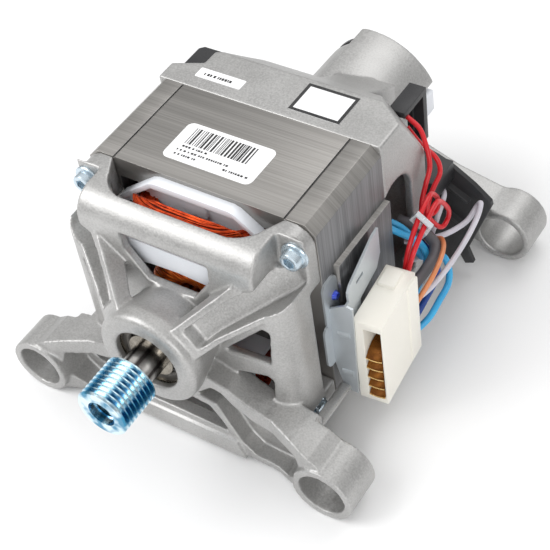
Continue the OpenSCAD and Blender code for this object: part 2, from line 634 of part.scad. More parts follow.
module end_discs() color([0.15, 0.30, 0.45]) for (y = [stack_y - disc_t, stack_end])
    along_y(y, disc_t) difference() {
        circle(r = rotor_r - 3);
        circle(r = core_r);
    }
// End turns: a ring of chords wound round a plain core at each end
turns_r = 15.9;
turns_a = 5.9;
turns_b = 6.3;
turns_gap = 0.15;
turns_d = 1.6;
turns_loops = 17;
turns_skew = 16;
turns_y = stack_y - disc_t - turns_b - turns_gap - turns_d - 0.2;
turns_route = [for (i = [0:turns_loops * coil_rings]) let (t = i / coil_rings, a = 360 * t,
    f = 360 * t / turns_loops * (turns_loops - 0.6) / turns_loops + turns_skew * cos(a),
    r = turns_r + (turns_a + turns_gap + turns_d / 2) * cos(a))
    [r * cos(f), turns_y + (turns_b + turns_gap + turns_d / 2) * sin(a), r * sin(f)]];
echo(str("Least gap of the armature end turns to themselves, in mm: ", least_gap(turns_route, turns_d, coil_rings / 2)));
module turns_core(y) about_y() polygon([for (i = [0:23]) let (a = 15 * i) [turns_r + turns_a * cos(a), y + turns_b * sin(a)]]);
module armature_winding_front() color([0.66, 0.23, 0.09]) {
    turns_core(turns_y);
    tube(turns_route, turns_d);
}
module armature_winding_rear() color([0.66, 0.23, 0.09]) about_y()
    polygon([for (i = [0:23]) let (a = 15 * i) [turns_r + (turns_a + 1.2) * cos(a),
        stack_end + disc_t + turns_b + 1.6 + (turns_b + 1.4) * sin(a)]]);

// Commutator
comm_r = comm_d / 2;
module commutator_bars() color([0.76, 0.45, 0.25]) difference() {
    about_y() polygon([[comm_hub_r, comm_y], [comm_r + 1.6, comm_y], [comm_r + 1.6, comm_y + 2.4],
        [comm_r, comm_y + 2.4], [comm_r, comm_y + comm_l], [comm_hub_r, comm_y + comm_l]]);
    for (i = [0:rotor_slots - 1]) rotate([0, 360 * (i + 0.5) / rotor_slots, 0])
        block(comm_hub_r - 1, comm_r + 3, comm_y - 1, comm_y + comm_l + 1, -0.25, 0.25);
}
module commutator_hub() color([0.32, 0.16, 0.10]) about_y() polygon([[core_r, comm_y - 1.5], [comm_hub_r - 1, comm_y - 1.5],
    [comm_hub_r - 0.01, comm_y - 0.5], [comm_hub_r - 0.01, comm_y + comm_l + 0.5],
    [comm_hub_r - 1, comm_y + comm_l + 1.5], [core_r, comm_y + comm_l + 1.5]]);

// Deep groove ball bearings
module race(r_in, r_out, y, w, pitch_r) about_y() difference() {
    translate([r_in, y]) square([r_out - r_in, w]);
    translate([pitch_r, y + w / 2]) circle(d = ball_d + 2 * ball_gap);
}
module ball_set(y, w, pitch_r, count) for (i = [0:count - 1]) rotate([0, 360 * i / count, 0])
    translate([pitch_r, y + w / 2, 0]) sphere(d = ball_d);
module ball_cage(y, w, pitch_r, count) difference() {
    along_y(y + w / 2 - 1.2, 5.4) difference() {
        circle(r = pitch_r + 0.8);
        circle(r = pitch_r - 0.8);
    }
    for (i = [0:count - 1]) rotate([0, 360 * i / count, 0])
        translate([pitch_r - 2, y + w / 2, 0]) rotate([0, 90, 0]) cylinder(d = ball_d + 0.3, h = 4);
}
fb_pitch = (fb_od + shaft_d) / 4;
rb_pitch = (rb_od + shaft_rear_d) / 4;
fb_balls = 8;
rb_balls = 7;
land = ball_d / 2 - 1.05;
module front_bearing_outer() color([0.66, 0.66, 0.66]) race(fb_pitch + land, fb_od / 2, fb_y, fb_w, fb_pitch);
module front_bearing_inner() color([0.70, 0.70, 0.70]) race(shaft_r, fb_pitch - land, fb_y, fb_w, fb_pitch);
module front_bearing_balls() color([0.80, 0.80, 0.82]) ball_set(fb_y, fb_w, fb_pitch, fb_balls);
module front_bearing_cage() color([0.62, 0.55, 0.38]) ball_cage(fb_y, fb_w, fb_pitch, fb_balls);
module rear_bearing_outer() color([0.66, 0.66, 0.66]) race(rb_pitch + land, rb_od / 2, rb_y, rb_w, rb_pitch);
module rear_bearing_inner() color([0.70, 0.70, 0.70]) race(rear_r, rb_pitch - land, rb_y, rb_w, rb_pitch);
module rear_bearing_balls() color([0.80, 0.80, 0.82]) ball_set(rb_y, rb_w, rb_pitch, rb_balls);
module rear_bearing_cage() color([0.62, 0.55, 0.38]) ball_cage(rb_y, rb_w, rb_pitch, rb_balls);
// Dished dust seal in the front of the front bearing, carried by its outer ring
module front_bearing_seal() color([0.70, 0.64, 0.50]) about_y() polygon([[fb_pitch - land + 0.4, fb_y + 1.2],
    [fb_pitch - 0.5, fb_y + 0.5], [fb_pitch + land, fb_y + 0.5], [fb_pitch + land, fb_y + 1.6], [fb_pitch - land + 0.4, fb_y + 1.9]]);
// Wave washer that preloads the rear bearing
module wave_washer() color([0.60, 0.60, 0.62]) along_y(rb_y - 1, 0.98) difference() {
    circle(r = rb_od / 2 - 0.3);
    circle(r = rb_od / 2 - 3);
}

// Tie screws with washers, from the front shield through the stack into the rear shield
washer_t = 1.2;
head_t = 4;
module at_ties() for (sx = [-1, 1], sz = [-1, 1]) translate([sx * tie_x, 0, sz * tie_z]) children();
module tie_screws() color([0.72, 0.80, 0.84]) at_ties() difference() {
    about_y() polygon([[0, screw_seat - washer_t - head_t], [head_d / 2 - 0.8, screw_seat - washer_t - head_t],
        [head_d / 2, screw_seat - washer_t - head_t + 0.8], [head_d / 2, screw_seat - washer_t],
        [tie_d / 2, screw_seat - washer_t], [tie_d / 2, stack_end + 11], [0, stack_end + 12]]);
    rod_y(0, 0, tie_d - 1, screw_seat - washer_t - head_t - 1, 3.4);
}
module tie_washers() color([0.70, 0.78, 0.82]) at_ties() along_y(screw_seat - washer_t, washer_t) difference() {
    circle(d = washer_d);
    circle(d = tie_d + 0.2);
}

// Brush gear: a black holder on each side, brass tube, carbon, spring
tube_in_t = brush_t + 2 * brush_gap;
tube_in_w = brush_w + 2 * brush_gap;
tube_out_t = tube_in_t + 2 * tube_wall;
tube_out_w = tube_in_w + 2 * tube_wall;
brush_face = comm_r + 0.3;
brush_back = brush_face + brush_l;
spring_gap = 0.3;
holder_in = comm_r + 3;
holder_out = brush_back + brush_travel + 12;
holder_t = 1.6;
frame_x = rear_hub_d / 2 + 10;
frame_top = half_h - 15;
module brush_column(x0, x1, w, t) block(x0, x1, brush_y - w / 2, brush_y + w / 2, -t / 2, t / 2);
module brush_tube() difference() {
    brush_column(holder_in, holder_out - 2, tube_out_w, tube_out_t);
    brush_column(holder_in - 1, holder_out, tube_in_w, tube_in_t);
}
module carbon_brush() difference() {
    brush_column(brush_face - 1, brush_back, brush_w, brush_t);
    rod_y(0, 0, 2 * brush_face, brush_y - brush_w, 2 * brush_w);
}
spring_d = 0.6;
spring_turns = 8;
spring_r = brush_t / 2 - spring_d / 2 - 0.2;
spring_l = holder_out - holder_t - brush_back - 2 * spring_gap - spring_d;
spring_route = [for (i = [0:spring_turns * 8]) let (a = 45 * i)
    [brush_back + spring_gap + spring_d / 2 + spring_l * i / (spring_turns * 8), brush_y + spring_r * cos(a), spring_r * sin(a)]];
module brush_spring() tube(spring_route, spring_d, 3);
module brush_holder(top) difference() {
    union() {
        brush_column(holder_in + 1, holder_out, holder_w, tube_out_t + 3.2);
        // Frame plate against the box's rear wall
        block(frame_x, frame_x + 3, box_end, box_end + 19, -14, top);
        block(rear_hub_d / 2 + 0.8, frame_x + 3, box_end, box_end + 3, -13, 12);
        children();
    }
    brush_column(holder_in, holder_out - holder_t, tube_out_w + 0.1, tube_out_t + 0.1);
    block(frame_x - 1, frame_x + 4, box_end + 4, box_end + 15, 15, frame_top - 6);
    for (z = [-9, 9]) rod_y(frame_x - 4, z, 2.6, box_end - 1, 8);
}
module brush_holder_right() color([0.12, 0.12, 0.13]) brush_holder(frame_top) {
    block(frame_x + 3, frame_x + 8, box_end, box_end + 19, frame_top - 3, frame_top);
    block(frame_x + 3, frame_x + 8, box_end, box_end + 19, 10, 12);
    block(frame_x + 3, frame_x + 8, box_end + 16, box_end + 19, 12, frame_top - 3);
}
// The left holder has a closed cover in the notch of the box instead of the open frame
module brush_holder_left() color([0.12, 0.12, 0.13]) mirror([1, 0, 0]) brush_holder(14) {
    translate([0, 0, 20]) linear_extrude(half_h - 22) polygon([[half_w + 1.5, box_end - 25], [half_w + 0.3, box_end - 26],
        [groove_x + 0.4, box_end - 20], [groove_x + 0.4, box_end - 12.8], [groove_x + 3, box_end - 4],
        [half_w - 0.5, box_end - 4], [half_w + 1.5, box_end - 6]]);
    block(groove_x + 5, half_w - 0.5, box_end - 7, box_end, -4, 21);
}
module brush_tube_right() color([0.78, 0.63, 0.32]) brush_tube();
module brush_tube_left() color([0.78, 0.63, 0.32]) mirror([1, 0, 0]) brush_tube();
module carbon_brush_right() color([0.18, 0.18, 0.19]) carbon_brush();
module carbon_brush_left() color([0.18, 0.18, 0.19]) mirror([1, 0, 0]) carbon_brush();
module brush_spring_right() color([0.65, 0.65, 0.68]) brush_spring();
module brush_spring_left() color([0.65, 0.65, 0.68]) mirror([1, 0, 0]) brush_spring();

// Speed sensor at the rear end of the shaft
chamber_r = rear_hub_d / 2 - cast_wall;
cap_t = 2;
module tacho_magnet() color([0.22, 0.22, 0.24]) about_y()
    translate([rear_r - 1, tacho_y]) square([6, tacho_l]);
module tacho_coil() color([0.85, 0.82, 0.70]) difference() {
    about_y() polygon([[rear_r + 6.5, tacho_y], [rear_r + 12, tacho_y], [rear_r + 12, tacho_y + tacho_l + 1],
        [rear_r + 6.5, tacho_y + tacho_l + 1]]);
    about_y() translate([rear_r + 9, tacho_y + 2]) square([4, tacho_l - 3]);
}
module tacho_cap() color([0.13, 0.13, 0.14]) difference() {
    union() {
        rod_y(0, 0, rear_hub_d - 1, hub_end, cap_t);
        along_y(tacho_y + tacho_l + 1, hub_end - tacho_y - tacho_l - 1) difference() {
            circle(r = rear_r + 12);
            circle(r = rear_r + 9);
        }
    }
    for (a = [45, 225]) rod_y(cap_ring * cos(a), cap_ring * sin(a), 3, hub_end - 1, cap_t + 2);
}
cap_ring = rear_hub_d / 2 - 2.4;
module cap_screws() color([0.70, 0.76, 0.80]) for (a = [45, 225])
    translate([cap_ring * cos(a), 0, cap_ring * sin(a)]) about_y()
        polygon([[0, hub_end - 7], [1.2, hub_end - 7], [1.2, hub_end + cap_t], [2.3, hub_end + cap_t],
            [2.3, hub_end + cap_t + 1.2], [1.7, hub_end + cap_t + 1.7], [0, hub_end + cap_t + 1.7]]);
// White socket of the sensor on the hub's side
module tacho_socket() color([0.90, 0.90, 0.86]) difference() {
    block(rear_hub_d / 2 + 0.2, rear_hub_d / 2 + 6, hub_end - 16, hub_end - 5, 1, 12);
    block(rear_hub_d / 2 + 1.4, rear_hub_d / 2 + 4.8, hub_end - 15, hub_end - 7, 0, 10.6);
}

// Labels, drawn as thin sheets on the upper faces
label_t = 0.12;
module sheet_top(x0, x1, y0, y1, r) translate([0, 0, half_h]) linear_extrude(label_t)
    polygon(concat(arc(x0 + r, y0 + r, r, 180, 270, 4), arc(x1 - r, y0 + r, r, 270, 360, 4),
        arc(x1 - r, y1 - r, r, 0, 90, 4), arc(x0 + r, y1 - r, r, 90, 180, 4)));
module rating_label() color([0.93, 0.93, 0.93]) sheet_top(-24, 19, stack_y + 9, stack_y + 31, 3);
module batch_label() color([0.92, 0.92, 0.91]) sheet_top(-40, -17, stack_end + 6.5, stack_end + 12.5, 0.6);
module framed_label() color([0.90, 0.90, 0.90]) sheet_top(8, 32.5, stack_end + 5, stack_end + 22.5, 0.5);

// Plug housing, its contacts and its sheet bracket
plug_x = side_x + plug_stand + sheet_t + 1;
plug_y = stack_y + 3;
plug_z = 3.3;
plug_turn = 5;
way_pitch = (plug_h - 7.6) / plug_ways;
slot_in = 4.4;
slot_deep = 19;
slot_out = plug_w - 1;
module plug_place() translate([plug_x, plug_y, plug_z]) rotate([0, 0, plug_turn]) children();
module plug_housing() color([0.87, 0.85, 0.77]) plug_place() difference() {
    union() {
        block(0, plug_w, 0, plug_l, -plug_h, 0);
        // Latch on the top and keys down the inner side
        block(1.5, plug_w - 4, plug_l - 12, plug_l - 2, -0.1, 1.6);
        block(-1, 0.1, 5, 9, -12, -3);
        block(-1, 0.1, 5, 9, -plug_h + 8, -plug_h + 17);
        // Ledges on the outer face
        block(plug_w - 0.1, plug_w + 0.8, plug_l - 9, plug_l, -plug_h + 2, -2);
    }
    block(slot_in, slot_out, -1, slot_deep, -plug_h + 3.8, -3.8);
    for (i = [0:plug_ways - 1]) {
        z = -3.8 - way_pitch * (i + 0.5);
        // Narrow ways through to the rear for the contacts and leads
        block(slot_in + 1, slot_out - 1, slot_deep - 1, plug_l + 1, z - 2, z + 2);
    }
}
module plug_terminals() color([0.80, 0.62, 0.25]) plug_place() for (i = [0:plug_ways - 3]) {
    z = -plug_h + 3.8 + way_pitch * (i + 0.5);
    // Flat tab with a rolled front edge
    block(slot_in + 1.6, slot_out - 1.6, 3, plug_l - 6, z - 0.4, z + 0.4);
    translate([0, 0, z]) along_x(slot_in + 1.6, slot_out - slot_in - 3.2)
        polygon(arc(4.2, -0.9, 1.7, 60, 240, 8));
    block(slot_in + 2, slot_out - 2, plug_l - 9, plug_l - 5, z - 1.1, z + 1.1);
}

// Sheet bracket: a flag plate beside the plug, a front plate and two riveted tabs
flag_x = -1.2 - sheet_t;
tab_y = 76;
tab_z = [11, -17];
module tab(y0, y1, z0, z1, r) along_x(half_w, sheet_t) polygon(concat(arc(y0 + r, z0 + r, r, 180, 270, 5),
    arc(y1 - r, z0 + r, r, 270, 360, 5), arc(y1 - r, z1 - r, r, 0, 90, 5), arc(y0 + r, z1 - r, r, 90, 180, 5)));
module plug_bracket() color([0.72, 0.73, 0.74]) {
    plug_place() difference() {
        union() {
            along_x(flag_x, sheet_t) polygon([[1.5, -43.3], [1.5, 13.7], [4, 16.2], [26, 22.7], [31, 22.7], [31, 8.7],
                [27, 3.2], [11, 1.2], [11, -43.3]]);
            along_y(-sheet_t - 0.2, sheet_t) polygon([[-9.6, -28], [-9.6, 4], [-2, 8.7], [1.4, 7.7], [-0.2, -45.3], [-6, -44.3]]);
            block(flag_x, flag_x + sheet_t, -sheet_t - 0.2, 2, -43.3, 8.7);
            // Pressed ribs of the front plate
            for (z = [-33, -9]) along_x(-6.5, 5.4) polygon([for (a = [0:30:180])
                [-sheet_t - 0.1 - 0.9 * sin(a), z + 1.7 * cos(a)]]);
        }
        block(flag_x - 1, flag_x + 2, 9, 15, 11.7, 13.3);
    }
    difference() {
        union() {
            tab(68.4, stack_y + step_start - 0.4, -3, 22, 3.5);
            tab(65.8, stack_y + step_start - 0.4, -25, -1, 3.5);
        }
        for (z = tab_z) translate([0, tab_y, z]) rotate([0, 90, 0]) cylinder(d = 2, h = 2 * side_x);
    }
}
module bracket_rivets() color([0.45, 0.55, 0.80]) for (z = tab_z) translate([half_w, tab_y, z]) rotate([0, 90, 0]) {
    cylinder(d = 1.9, h = sheet_t + 0.1);
    translate([0, 0, sheet_t]) cylinder(d1 = 4.4, d2 = 3, h = 1.6);
}

// Black plate behind the brush holder that guides the leads
module wire_guide() color([0.10, 0.10, 0.11]) {
    along_y(brush_y + holder_w / 2, 2.4) polygon([[frame_x + 3.2, 7], [frame_x + 14, 4], [side_x + 1, 0.5],
        [side_x + 11, -6], [side_x + 19, -13], [side_x + 19.5, -15.5], [side_x + 7, -48], [side_x + 10, -56],
        [side_x + 5.5, -58], [side_x + 3, -53], [side_x - 3, -60], [side_x - 9, -56], [frame_x + 3.2, -16]]);
    // Ribs that keep the leads apart
    along_y(brush_y + holder_w / 2 - 3, 3.4) polygon([[side_x - 5, -8], [side_x + 9, -16], [side_x + 9.6, -14.6], [side_x - 4.4, -6.4]]);
    along_y(brush_y + holder_w / 2 - 3, 3.4) polygon([[side_x - 7, -24], [side_x + 7, -33], [side_x + 7.6, -31.6], [side_x - 6.4, -22.4]]);
}

// Leads between the plug and the rear shield, along the routes that they take in the photograph
function smooth_route(p, n) = [for (i = [0:(len(p) - 1) * n]) let (k = min(floor(i / n), len(p) - 2), t = i / n - k,
    a = p[max(k - 1, 0)], b = p[k], c = p[k + 1], d = p[min(k + 2, len(p) - 1)])
    b + (c - a) * t / 2 + (2 * a - 5 * b + 4 * c - d) * t * t / 2 + (3 * b - a - 3 * c + d) * t * t * t / 2];
module lead(points, d, n = 4) tube(smooth_route(points, n), d, 8);
// A lead's points, from the stack's side and rear end; near the plug they keep their place behind it
function at_side(p) = [for (q = p) [side_x + q[0], stack_end + q[1]
    + (plug_y + plug_l + 14 - stack_end) * max(0, min(1, -q[1] / 13)), q[2]]];
red_a = at_side([[13.2, -18.1, -3.4], [12.8, -13.4, -3.4], [12.7, -10, 0], [13.6, -6, 8], [13, 4.5, 12.6], [12, 13.7, 14.4],
    [11, 21, 11.2], [10, 29.5, -0.7], [9, 31.4, -8], [8, 28.4, -11.5], [6.8, 25, -8.5], [4.8, 21, 0.6],
    [4.2, 24, 6.5], [4, 29, 9.8], [4, 34.5, 12.8], [2.8, 36, 17.4], [-0.5, 36.8, 20.4], [-7, 38.6, 22], [-14, 40, 28]]);
red_b = at_side([[13.2, -18.1, -9.2], [12.8, -13.4, -9.2], [10.4, -9.5, -4], [10.6, -5.5, 7], [10, 4.5, 14.8], [9, 14, 17],
    [8, 20, 15], [7.2, 26, 7], [6.2, 27.5, 0], [4.3, 26, -3.4], [2.2, 21.8, -0.6], [1.7, 22, 5.4],
    [1.6, 26, 12], [1.4, 30.5, 17.5], [0.2, 32.6, 22.5], [-2.5, 35, 27], [-7, 38.4, 31], [-14, 40, 34]]);
blue_a = at_side([[13.2, -18.1, -26.5], [12.8, -13.4, -26.5], [11.6, -8, -26], [10.2, 0, -22.5], [9.4, 7, -19.5],
    [9, 11.5, -15.5], [7.2, 12.3, -10.5], [4.9, 10, -4.5], [2.4, 6.2, 0.5], [-1.5, 3.7, 4], [-6, 3, 6]]);
blue_b = at_side([[13.2, -18.1, -38], [12.8, -13.4, -38], [14.5, -9, -37.5], [17.2, -3, -34.5], [17.8, 5, -31.5],
    [17.2, 14, -30.5], [15, 19.6, -28], [12, 21.5, -23.2], [8.5, 19.8, -20.6], [5.3, 13.6, -18], [3, 12.4, -11],
    [1.2, 11, -4], [-1.5, 9.5, 0.5], [-6, 8.5, 3]]);
navy_a = at_side([[13.2, -18.1, -32.3], [12.8, -13.4, -32.3], [13, -8, -32], [13.4, 0, -29], [13, 9, -27.5], [12.5, 14, -26],
    [10.5, 16.3, -22], [9, 15.4, -17.6], [6.6, 16, -14.4], [3, 16.5, -12], [-1, 16, -10.5], [-6, 15, -9.5]]);
grey_a = at_side([[12.7, -12.2, -14.6], [12.9, -7, -12.4], [13.4, 1, -11.8], [13, 10, -11.6], [10.6, 16, -10.6],
    [6.5, 18, -8.6], [2, 18, -5.4], [-3, 17, -4], [-7, 16.5, -3.6]]);
orange_a = at_side([[14.8, -17.9, -20.7], [14.4, -13, -20.7], [16.5, -9.5, -16.5], [18.2, -5, -12], [18.6, 0, -9.8],
    [17.3, 8.5, -9], [14.9, 15.8, -9.4], [11, 21.4, -11.8], [7.4, 23, -14.6], [3, 21, -14.6], [-1, 19.3, -13.8], [-6, 18.4, -13.4]]);
white_a = at_side([[12, -18.2, -20.7], [11.6, -13.3, -20.7], [13.3, -9.5, -20.2], [16.5, -5, -17.6], [18.4, 1, -16.2],
    [19.2, 12, -15.8], [18.4, 25, -16.9], [17.6, 36, -16.4], [17.4, 43, -13.4], [16.6, 47, -10.5], [14.6, 47, -13.5],
    [13, 41.5, -17.4], [10.3, 36, -18.8], [7.6, 30.5, -18.6], [4, 26, -18.4], [0, 21, -18.2], [-6, 18.4, -18]]);
white_b = at_side([[-6, 16.5, -28], [-1, 18, -26.5], [2, 23, -24], [2, 28, -19.5], [2.4, 33, -13.5], [2.2, 38, -9.4],
    [0.6, 43.5, -8.2], [-3, 46.5, -8], [-7, 47, -8.2]]);
module red_leads() color([0.86, 0.03, 0.05]) {
    lead(red_a, lead_d);
    lead(red_b, lead_d);
}
module blue_leads() color([0.13, 0.62, 0.90]) {
    lead(blue_a, lead_d + 0.8);
    lead(blue_b, lead_d + 0.8);
}
module navy_lead() color([0.05, 0.13, 0.42]) lead(navy_a, lead_d + 0.6);
module grey_sleeve() color([0.27, 0.26, 0.28]) lead(grey_a, sleeve_d);
module orange_lead() color([0.92, 0.50, 0.30]) lead(orange_a, lead_d);
module white_leads() color([0.80, 0.79, 0.84]) {
    lead(white_a, lead_d + 0.4);
    lead(white_b, lead_d + 0.2);
}
module cable_ties() color([0.82, 0.84, 0.88]) {
    translate([side_x + 11.5, stack_end + 4.5, 13.7]) rotate([0, 36, 0]) difference() {
        block(-4.3, 4.3, -1.3, 1.3, -2.7, 2.7);
        block(-3.5, 3.5, -2, 2, -1.9, 1.9);
    }
    translate([side_x + 4.3, stack_end + 18, -7]) rotate([0, 35.4, 0]) difference() {
        block(-1.5, 1.5, -3.3, 3.3, -3.3, 3.3);
        block(-2, 2, -2.75, 2.75, -2.75, 2.75);
    }
}

front_shield();
front_arms();
rear_shield();
stator_core();
bobbin_top();
bobbin_bottom();
field_coil_top();
field_coil_bottom();
shaft();
drive_pulley();
armature_core();
end_discs();
armature_winding_front();
armature_winding_rear();
commutator_bars();
commutator_hub();
front_bearing_outer();
front_bearing_inner();
front_bearing_balls();
front_bearing_cage();
front_bearing_seal();
rear_bearing_outer();
rear_bearing_inner();
rear_bearing_balls();
rear_bearing_cage();
wave_washer();
tie_screws();
tie_washers();
brush_holder_left();
brush_holder_right();
brush_tube_left();
brush_tube_right();
carbon_brush_left();
carbon_brush_right();
brush_spring_left();
brush_spring_right();
tacho_magnet();
tacho_coil();
tacho_cap();
cap_screws();
tacho_socket();
plug_bracket();
bracket_rivets();
plug_housing();
plug_terminals();
wire_guide();
red_leads();
blue_leads();
navy_lead();
grey_sleeve();
orange_lead();
white_leads();
cable_ties();
rating_label();
batch_label();
framed_label();
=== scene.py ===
import math
import random

import bmesh
import bpy
from mathutils import Matrix, Vector, noise


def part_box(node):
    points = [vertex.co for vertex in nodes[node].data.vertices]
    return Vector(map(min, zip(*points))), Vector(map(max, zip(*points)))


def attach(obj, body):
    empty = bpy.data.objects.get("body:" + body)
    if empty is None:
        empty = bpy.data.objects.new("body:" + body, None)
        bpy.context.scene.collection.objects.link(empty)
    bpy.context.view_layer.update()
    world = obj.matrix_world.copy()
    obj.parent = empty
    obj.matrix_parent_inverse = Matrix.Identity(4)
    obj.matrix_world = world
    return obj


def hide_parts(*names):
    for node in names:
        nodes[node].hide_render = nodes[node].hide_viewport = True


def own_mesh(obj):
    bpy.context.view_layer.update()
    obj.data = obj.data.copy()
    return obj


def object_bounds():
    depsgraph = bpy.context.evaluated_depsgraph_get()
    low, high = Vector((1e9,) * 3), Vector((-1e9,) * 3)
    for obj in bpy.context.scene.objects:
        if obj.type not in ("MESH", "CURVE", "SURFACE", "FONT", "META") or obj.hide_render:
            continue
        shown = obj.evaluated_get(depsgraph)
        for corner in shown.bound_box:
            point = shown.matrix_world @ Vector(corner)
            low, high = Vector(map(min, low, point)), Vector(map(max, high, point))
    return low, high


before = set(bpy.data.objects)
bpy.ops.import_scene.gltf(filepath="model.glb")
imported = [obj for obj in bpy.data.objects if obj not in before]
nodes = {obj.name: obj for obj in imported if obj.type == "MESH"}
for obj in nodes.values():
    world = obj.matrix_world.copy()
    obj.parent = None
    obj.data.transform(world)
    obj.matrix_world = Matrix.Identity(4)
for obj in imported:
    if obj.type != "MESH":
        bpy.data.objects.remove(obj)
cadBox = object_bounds()
mm = 0.001  # shapes below are in millimetres unless a note says metres
mergeGap = 0.00001  # metres; doubled vertices of a CAD node lie closer than this
print("frame loaded, nodes:", len(nodes))

# Camera at the photograph's angle
cameraSetup = {
    "turn": 39.49, "height": 46.25, "roll": -9.69,  # degrees
    "middle": (0, 69.8, 0),  # the point that it turns round
    "offset": (-24.81, 1.55, 593.8),  # in the camera's own directions
    "lens": 92.96, "sensor": 36, "nearest": 0.01,  # the last in metres
}


def placeCamera(setup):
    turn, height, roll = (math.radians(setup[k]) for k in ("turn", "height", "roll"))
    ahead = -Vector((math.sin(turn) * math.cos(height),
                     -math.cos(turn) * math.cos(height),
                     math.sin(height)))
    right = ahead.cross(Vector((0, 0, 1))).normalized()
    down = ahead.cross(right)
    across = math.cos(roll) * right - math.sin(roll) * down
    along = math.sin(roll) * right + math.cos(roll) * down
    x, y, z = setup["offset"]
    place = Vector(setup["middle"]) - (across * x + along * y + ahead * z)
    data = bpy.data.cameras.new("photoCamera")
    data.lens = setup["lens"]
    data.sensor_width = setup["sensor"]
    data.clip_start = setup["nearest"]
    camera = bpy.data.objects.new("photoCamera", data)
    facing = Matrix((across, -along, -ahead)).transposed().to_4x4()
    camera.matrix_world = Matrix.Translation(place * mm) @ facing
    bpy.context.collection.objects.link(camera)
    bpy.context.scene.camera = camera


# Even room light that brightens overhead, and three soft lamps
lightSetup = {
    "low": 0.36, "high": 0.94,  # strength at the horizon and overhead
    "lowZ": 0, "highZ": 0.9,  # upward share of a direction where each is reached
    "aim": (0, 0.1, 0),  # metres
    "lamps": [  # place and size in metres, power in watts
        ((-0.62, -0.42, 0.80), 0.80, 7.6),
        ((0.70, -0.62, 0.42), 0.45, 2.6),
        ((0.10, 0.90, 0.85), 0.75, 2.6),
    ],
}


def placeLights(setup):
    world = bpy.data.worlds.new("softRoom")
    world.use_nodes = True
    tree = world.node_tree
    way = tree.nodes.new("ShaderNodeTexCoord")
    apart = tree.nodes.new("ShaderNodeSeparateXYZ")
    tree.links.new(way.outputs["Generated"], apart.inputs["Vector"])
    glow = addRange(tree, apart.outputs["Z"], setup["low"], setup["high"],
                    setup["lowZ"], setup["highZ"])
    tree.links.new(glow, tree.nodes["Background"].inputs["Strength"])
    tree.nodes["Background"].inputs["Color"].default_value = (1, 1, 1, 1)
    bpy.context.scene.world = world
    bpy.context.scene.view_settings.view_transform = "Standard"
    for i, (place, size, power) in enumerate(setup["lamps"]):
        data = bpy.data.lights.new("softLight%d" % i, "AREA")
        data.size = size
        data.energy = power
        lamp = bpy.data.objects.new("softLight%d" % i, data)
        lamp.location = place
        toward = Vector(setup["aim"]) - Vector(place)
        lamp.rotation_euler = toward.to_track_quat("-Z", "Y").to_euler()
        bpy.context.collection.objects.link(lamp)


# Building blocks of the finishes
def newFinish(name):
    finish = bpy.data.materials.new(name)
    finish.use_nodes = True
    tree = finish.node_tree
    return finish, tree, tree.nodes["Principled BSDF"], tree.nodes.new("ShaderNodeTexCoord")


def addNoise(tree, place, scale, detail=3.0, stretch=None):
    texture = tree.nodes.new("ShaderNodeTexNoise")
    texture.inputs["Scale"].default_value = scale
    texture.inputs["Detail"].default_value = detail
    source = place.outputs["Object"]
    if stretch:
        mapping = tree.nodes.new("ShaderNodeMapping")
        mapping.inputs["Scale"].default_value = stretch
        tree.links.new(source, mapping.inputs["Vector"])
        source = mapping.outputs["Vector"]
    tree.links.new(source, texture.inputs["Vector"])
    return texture.outputs["Fac"]


def addRange(tree, value, low, high, fromLow=0.3, fromHigh=0.7):  # most noise lies there
    node = tree.nodes.new("ShaderNodeMapRange")
    for key, number in (("From Min", fromLow), ("From Max", fromHigh),
                        ("To Min", low), ("To Max", high)):
        node.inputs[key].default_value = number
    tree.links.new(value, node.inputs["Value"])
    return node.outputs["Result"]


def addMix(tree, share, first, second):
    node = tree.nodes.new("ShaderNodeMix")
    node.data_type = "RGBA"
    tree.links.new(share, node.inputs["Factor"])
    for socket, color in ((node.inputs["A"], first), (node.inputs["B"], second)):
        if isinstance(color, tuple):
            socket.default_value = (*color, 1)
        else:
            tree.links.new(color, socket)
    return node.outputs["Result"]


def addMath(tree, kind, first, second=None):
    node = tree.nodes.new("ShaderNodeMath")
    node.operation = kind
    for socket, value in zip(node.inputs, (first, second)):
        if isinstance(value, (int, float)):
            socket.default_value = value
        elif value is not None:
            tree.links.new(value, socket)
    return node.outputs["Value"]


def addBlend(tree, first, second, share):
    # The two noises added, with this share of the first
    return addMath(tree, "ADD", addMath(tree, "MULTIPLY", first, share),
                   addMath(tree, "MULTIPLY", second, 1 - share))


def addSkin(tree, shader, rough, grain, look):
    # Roughness and bump, each from its own noise
    tree.links.new(addRange(tree, rough, look["roughLow"], look["roughHigh"]),
                   shader.inputs["Roughness"])
    node = tree.nodes.new("ShaderNodeBump")
    node.inputs["Strength"].default_value = look["bump"]
    node.inputs["Distance"].default_value = look["depth"]
    tree.links.new(grain, node.inputs["Height"])
    tree.links.new(node.outputs["Normal"], shader.inputs["Normal"])
    shader.inputs["Metallic"].default_value = look["metal"]


placeCamera(cameraSetup)
placeLights(lightSetup)
print("camera and lights placed")

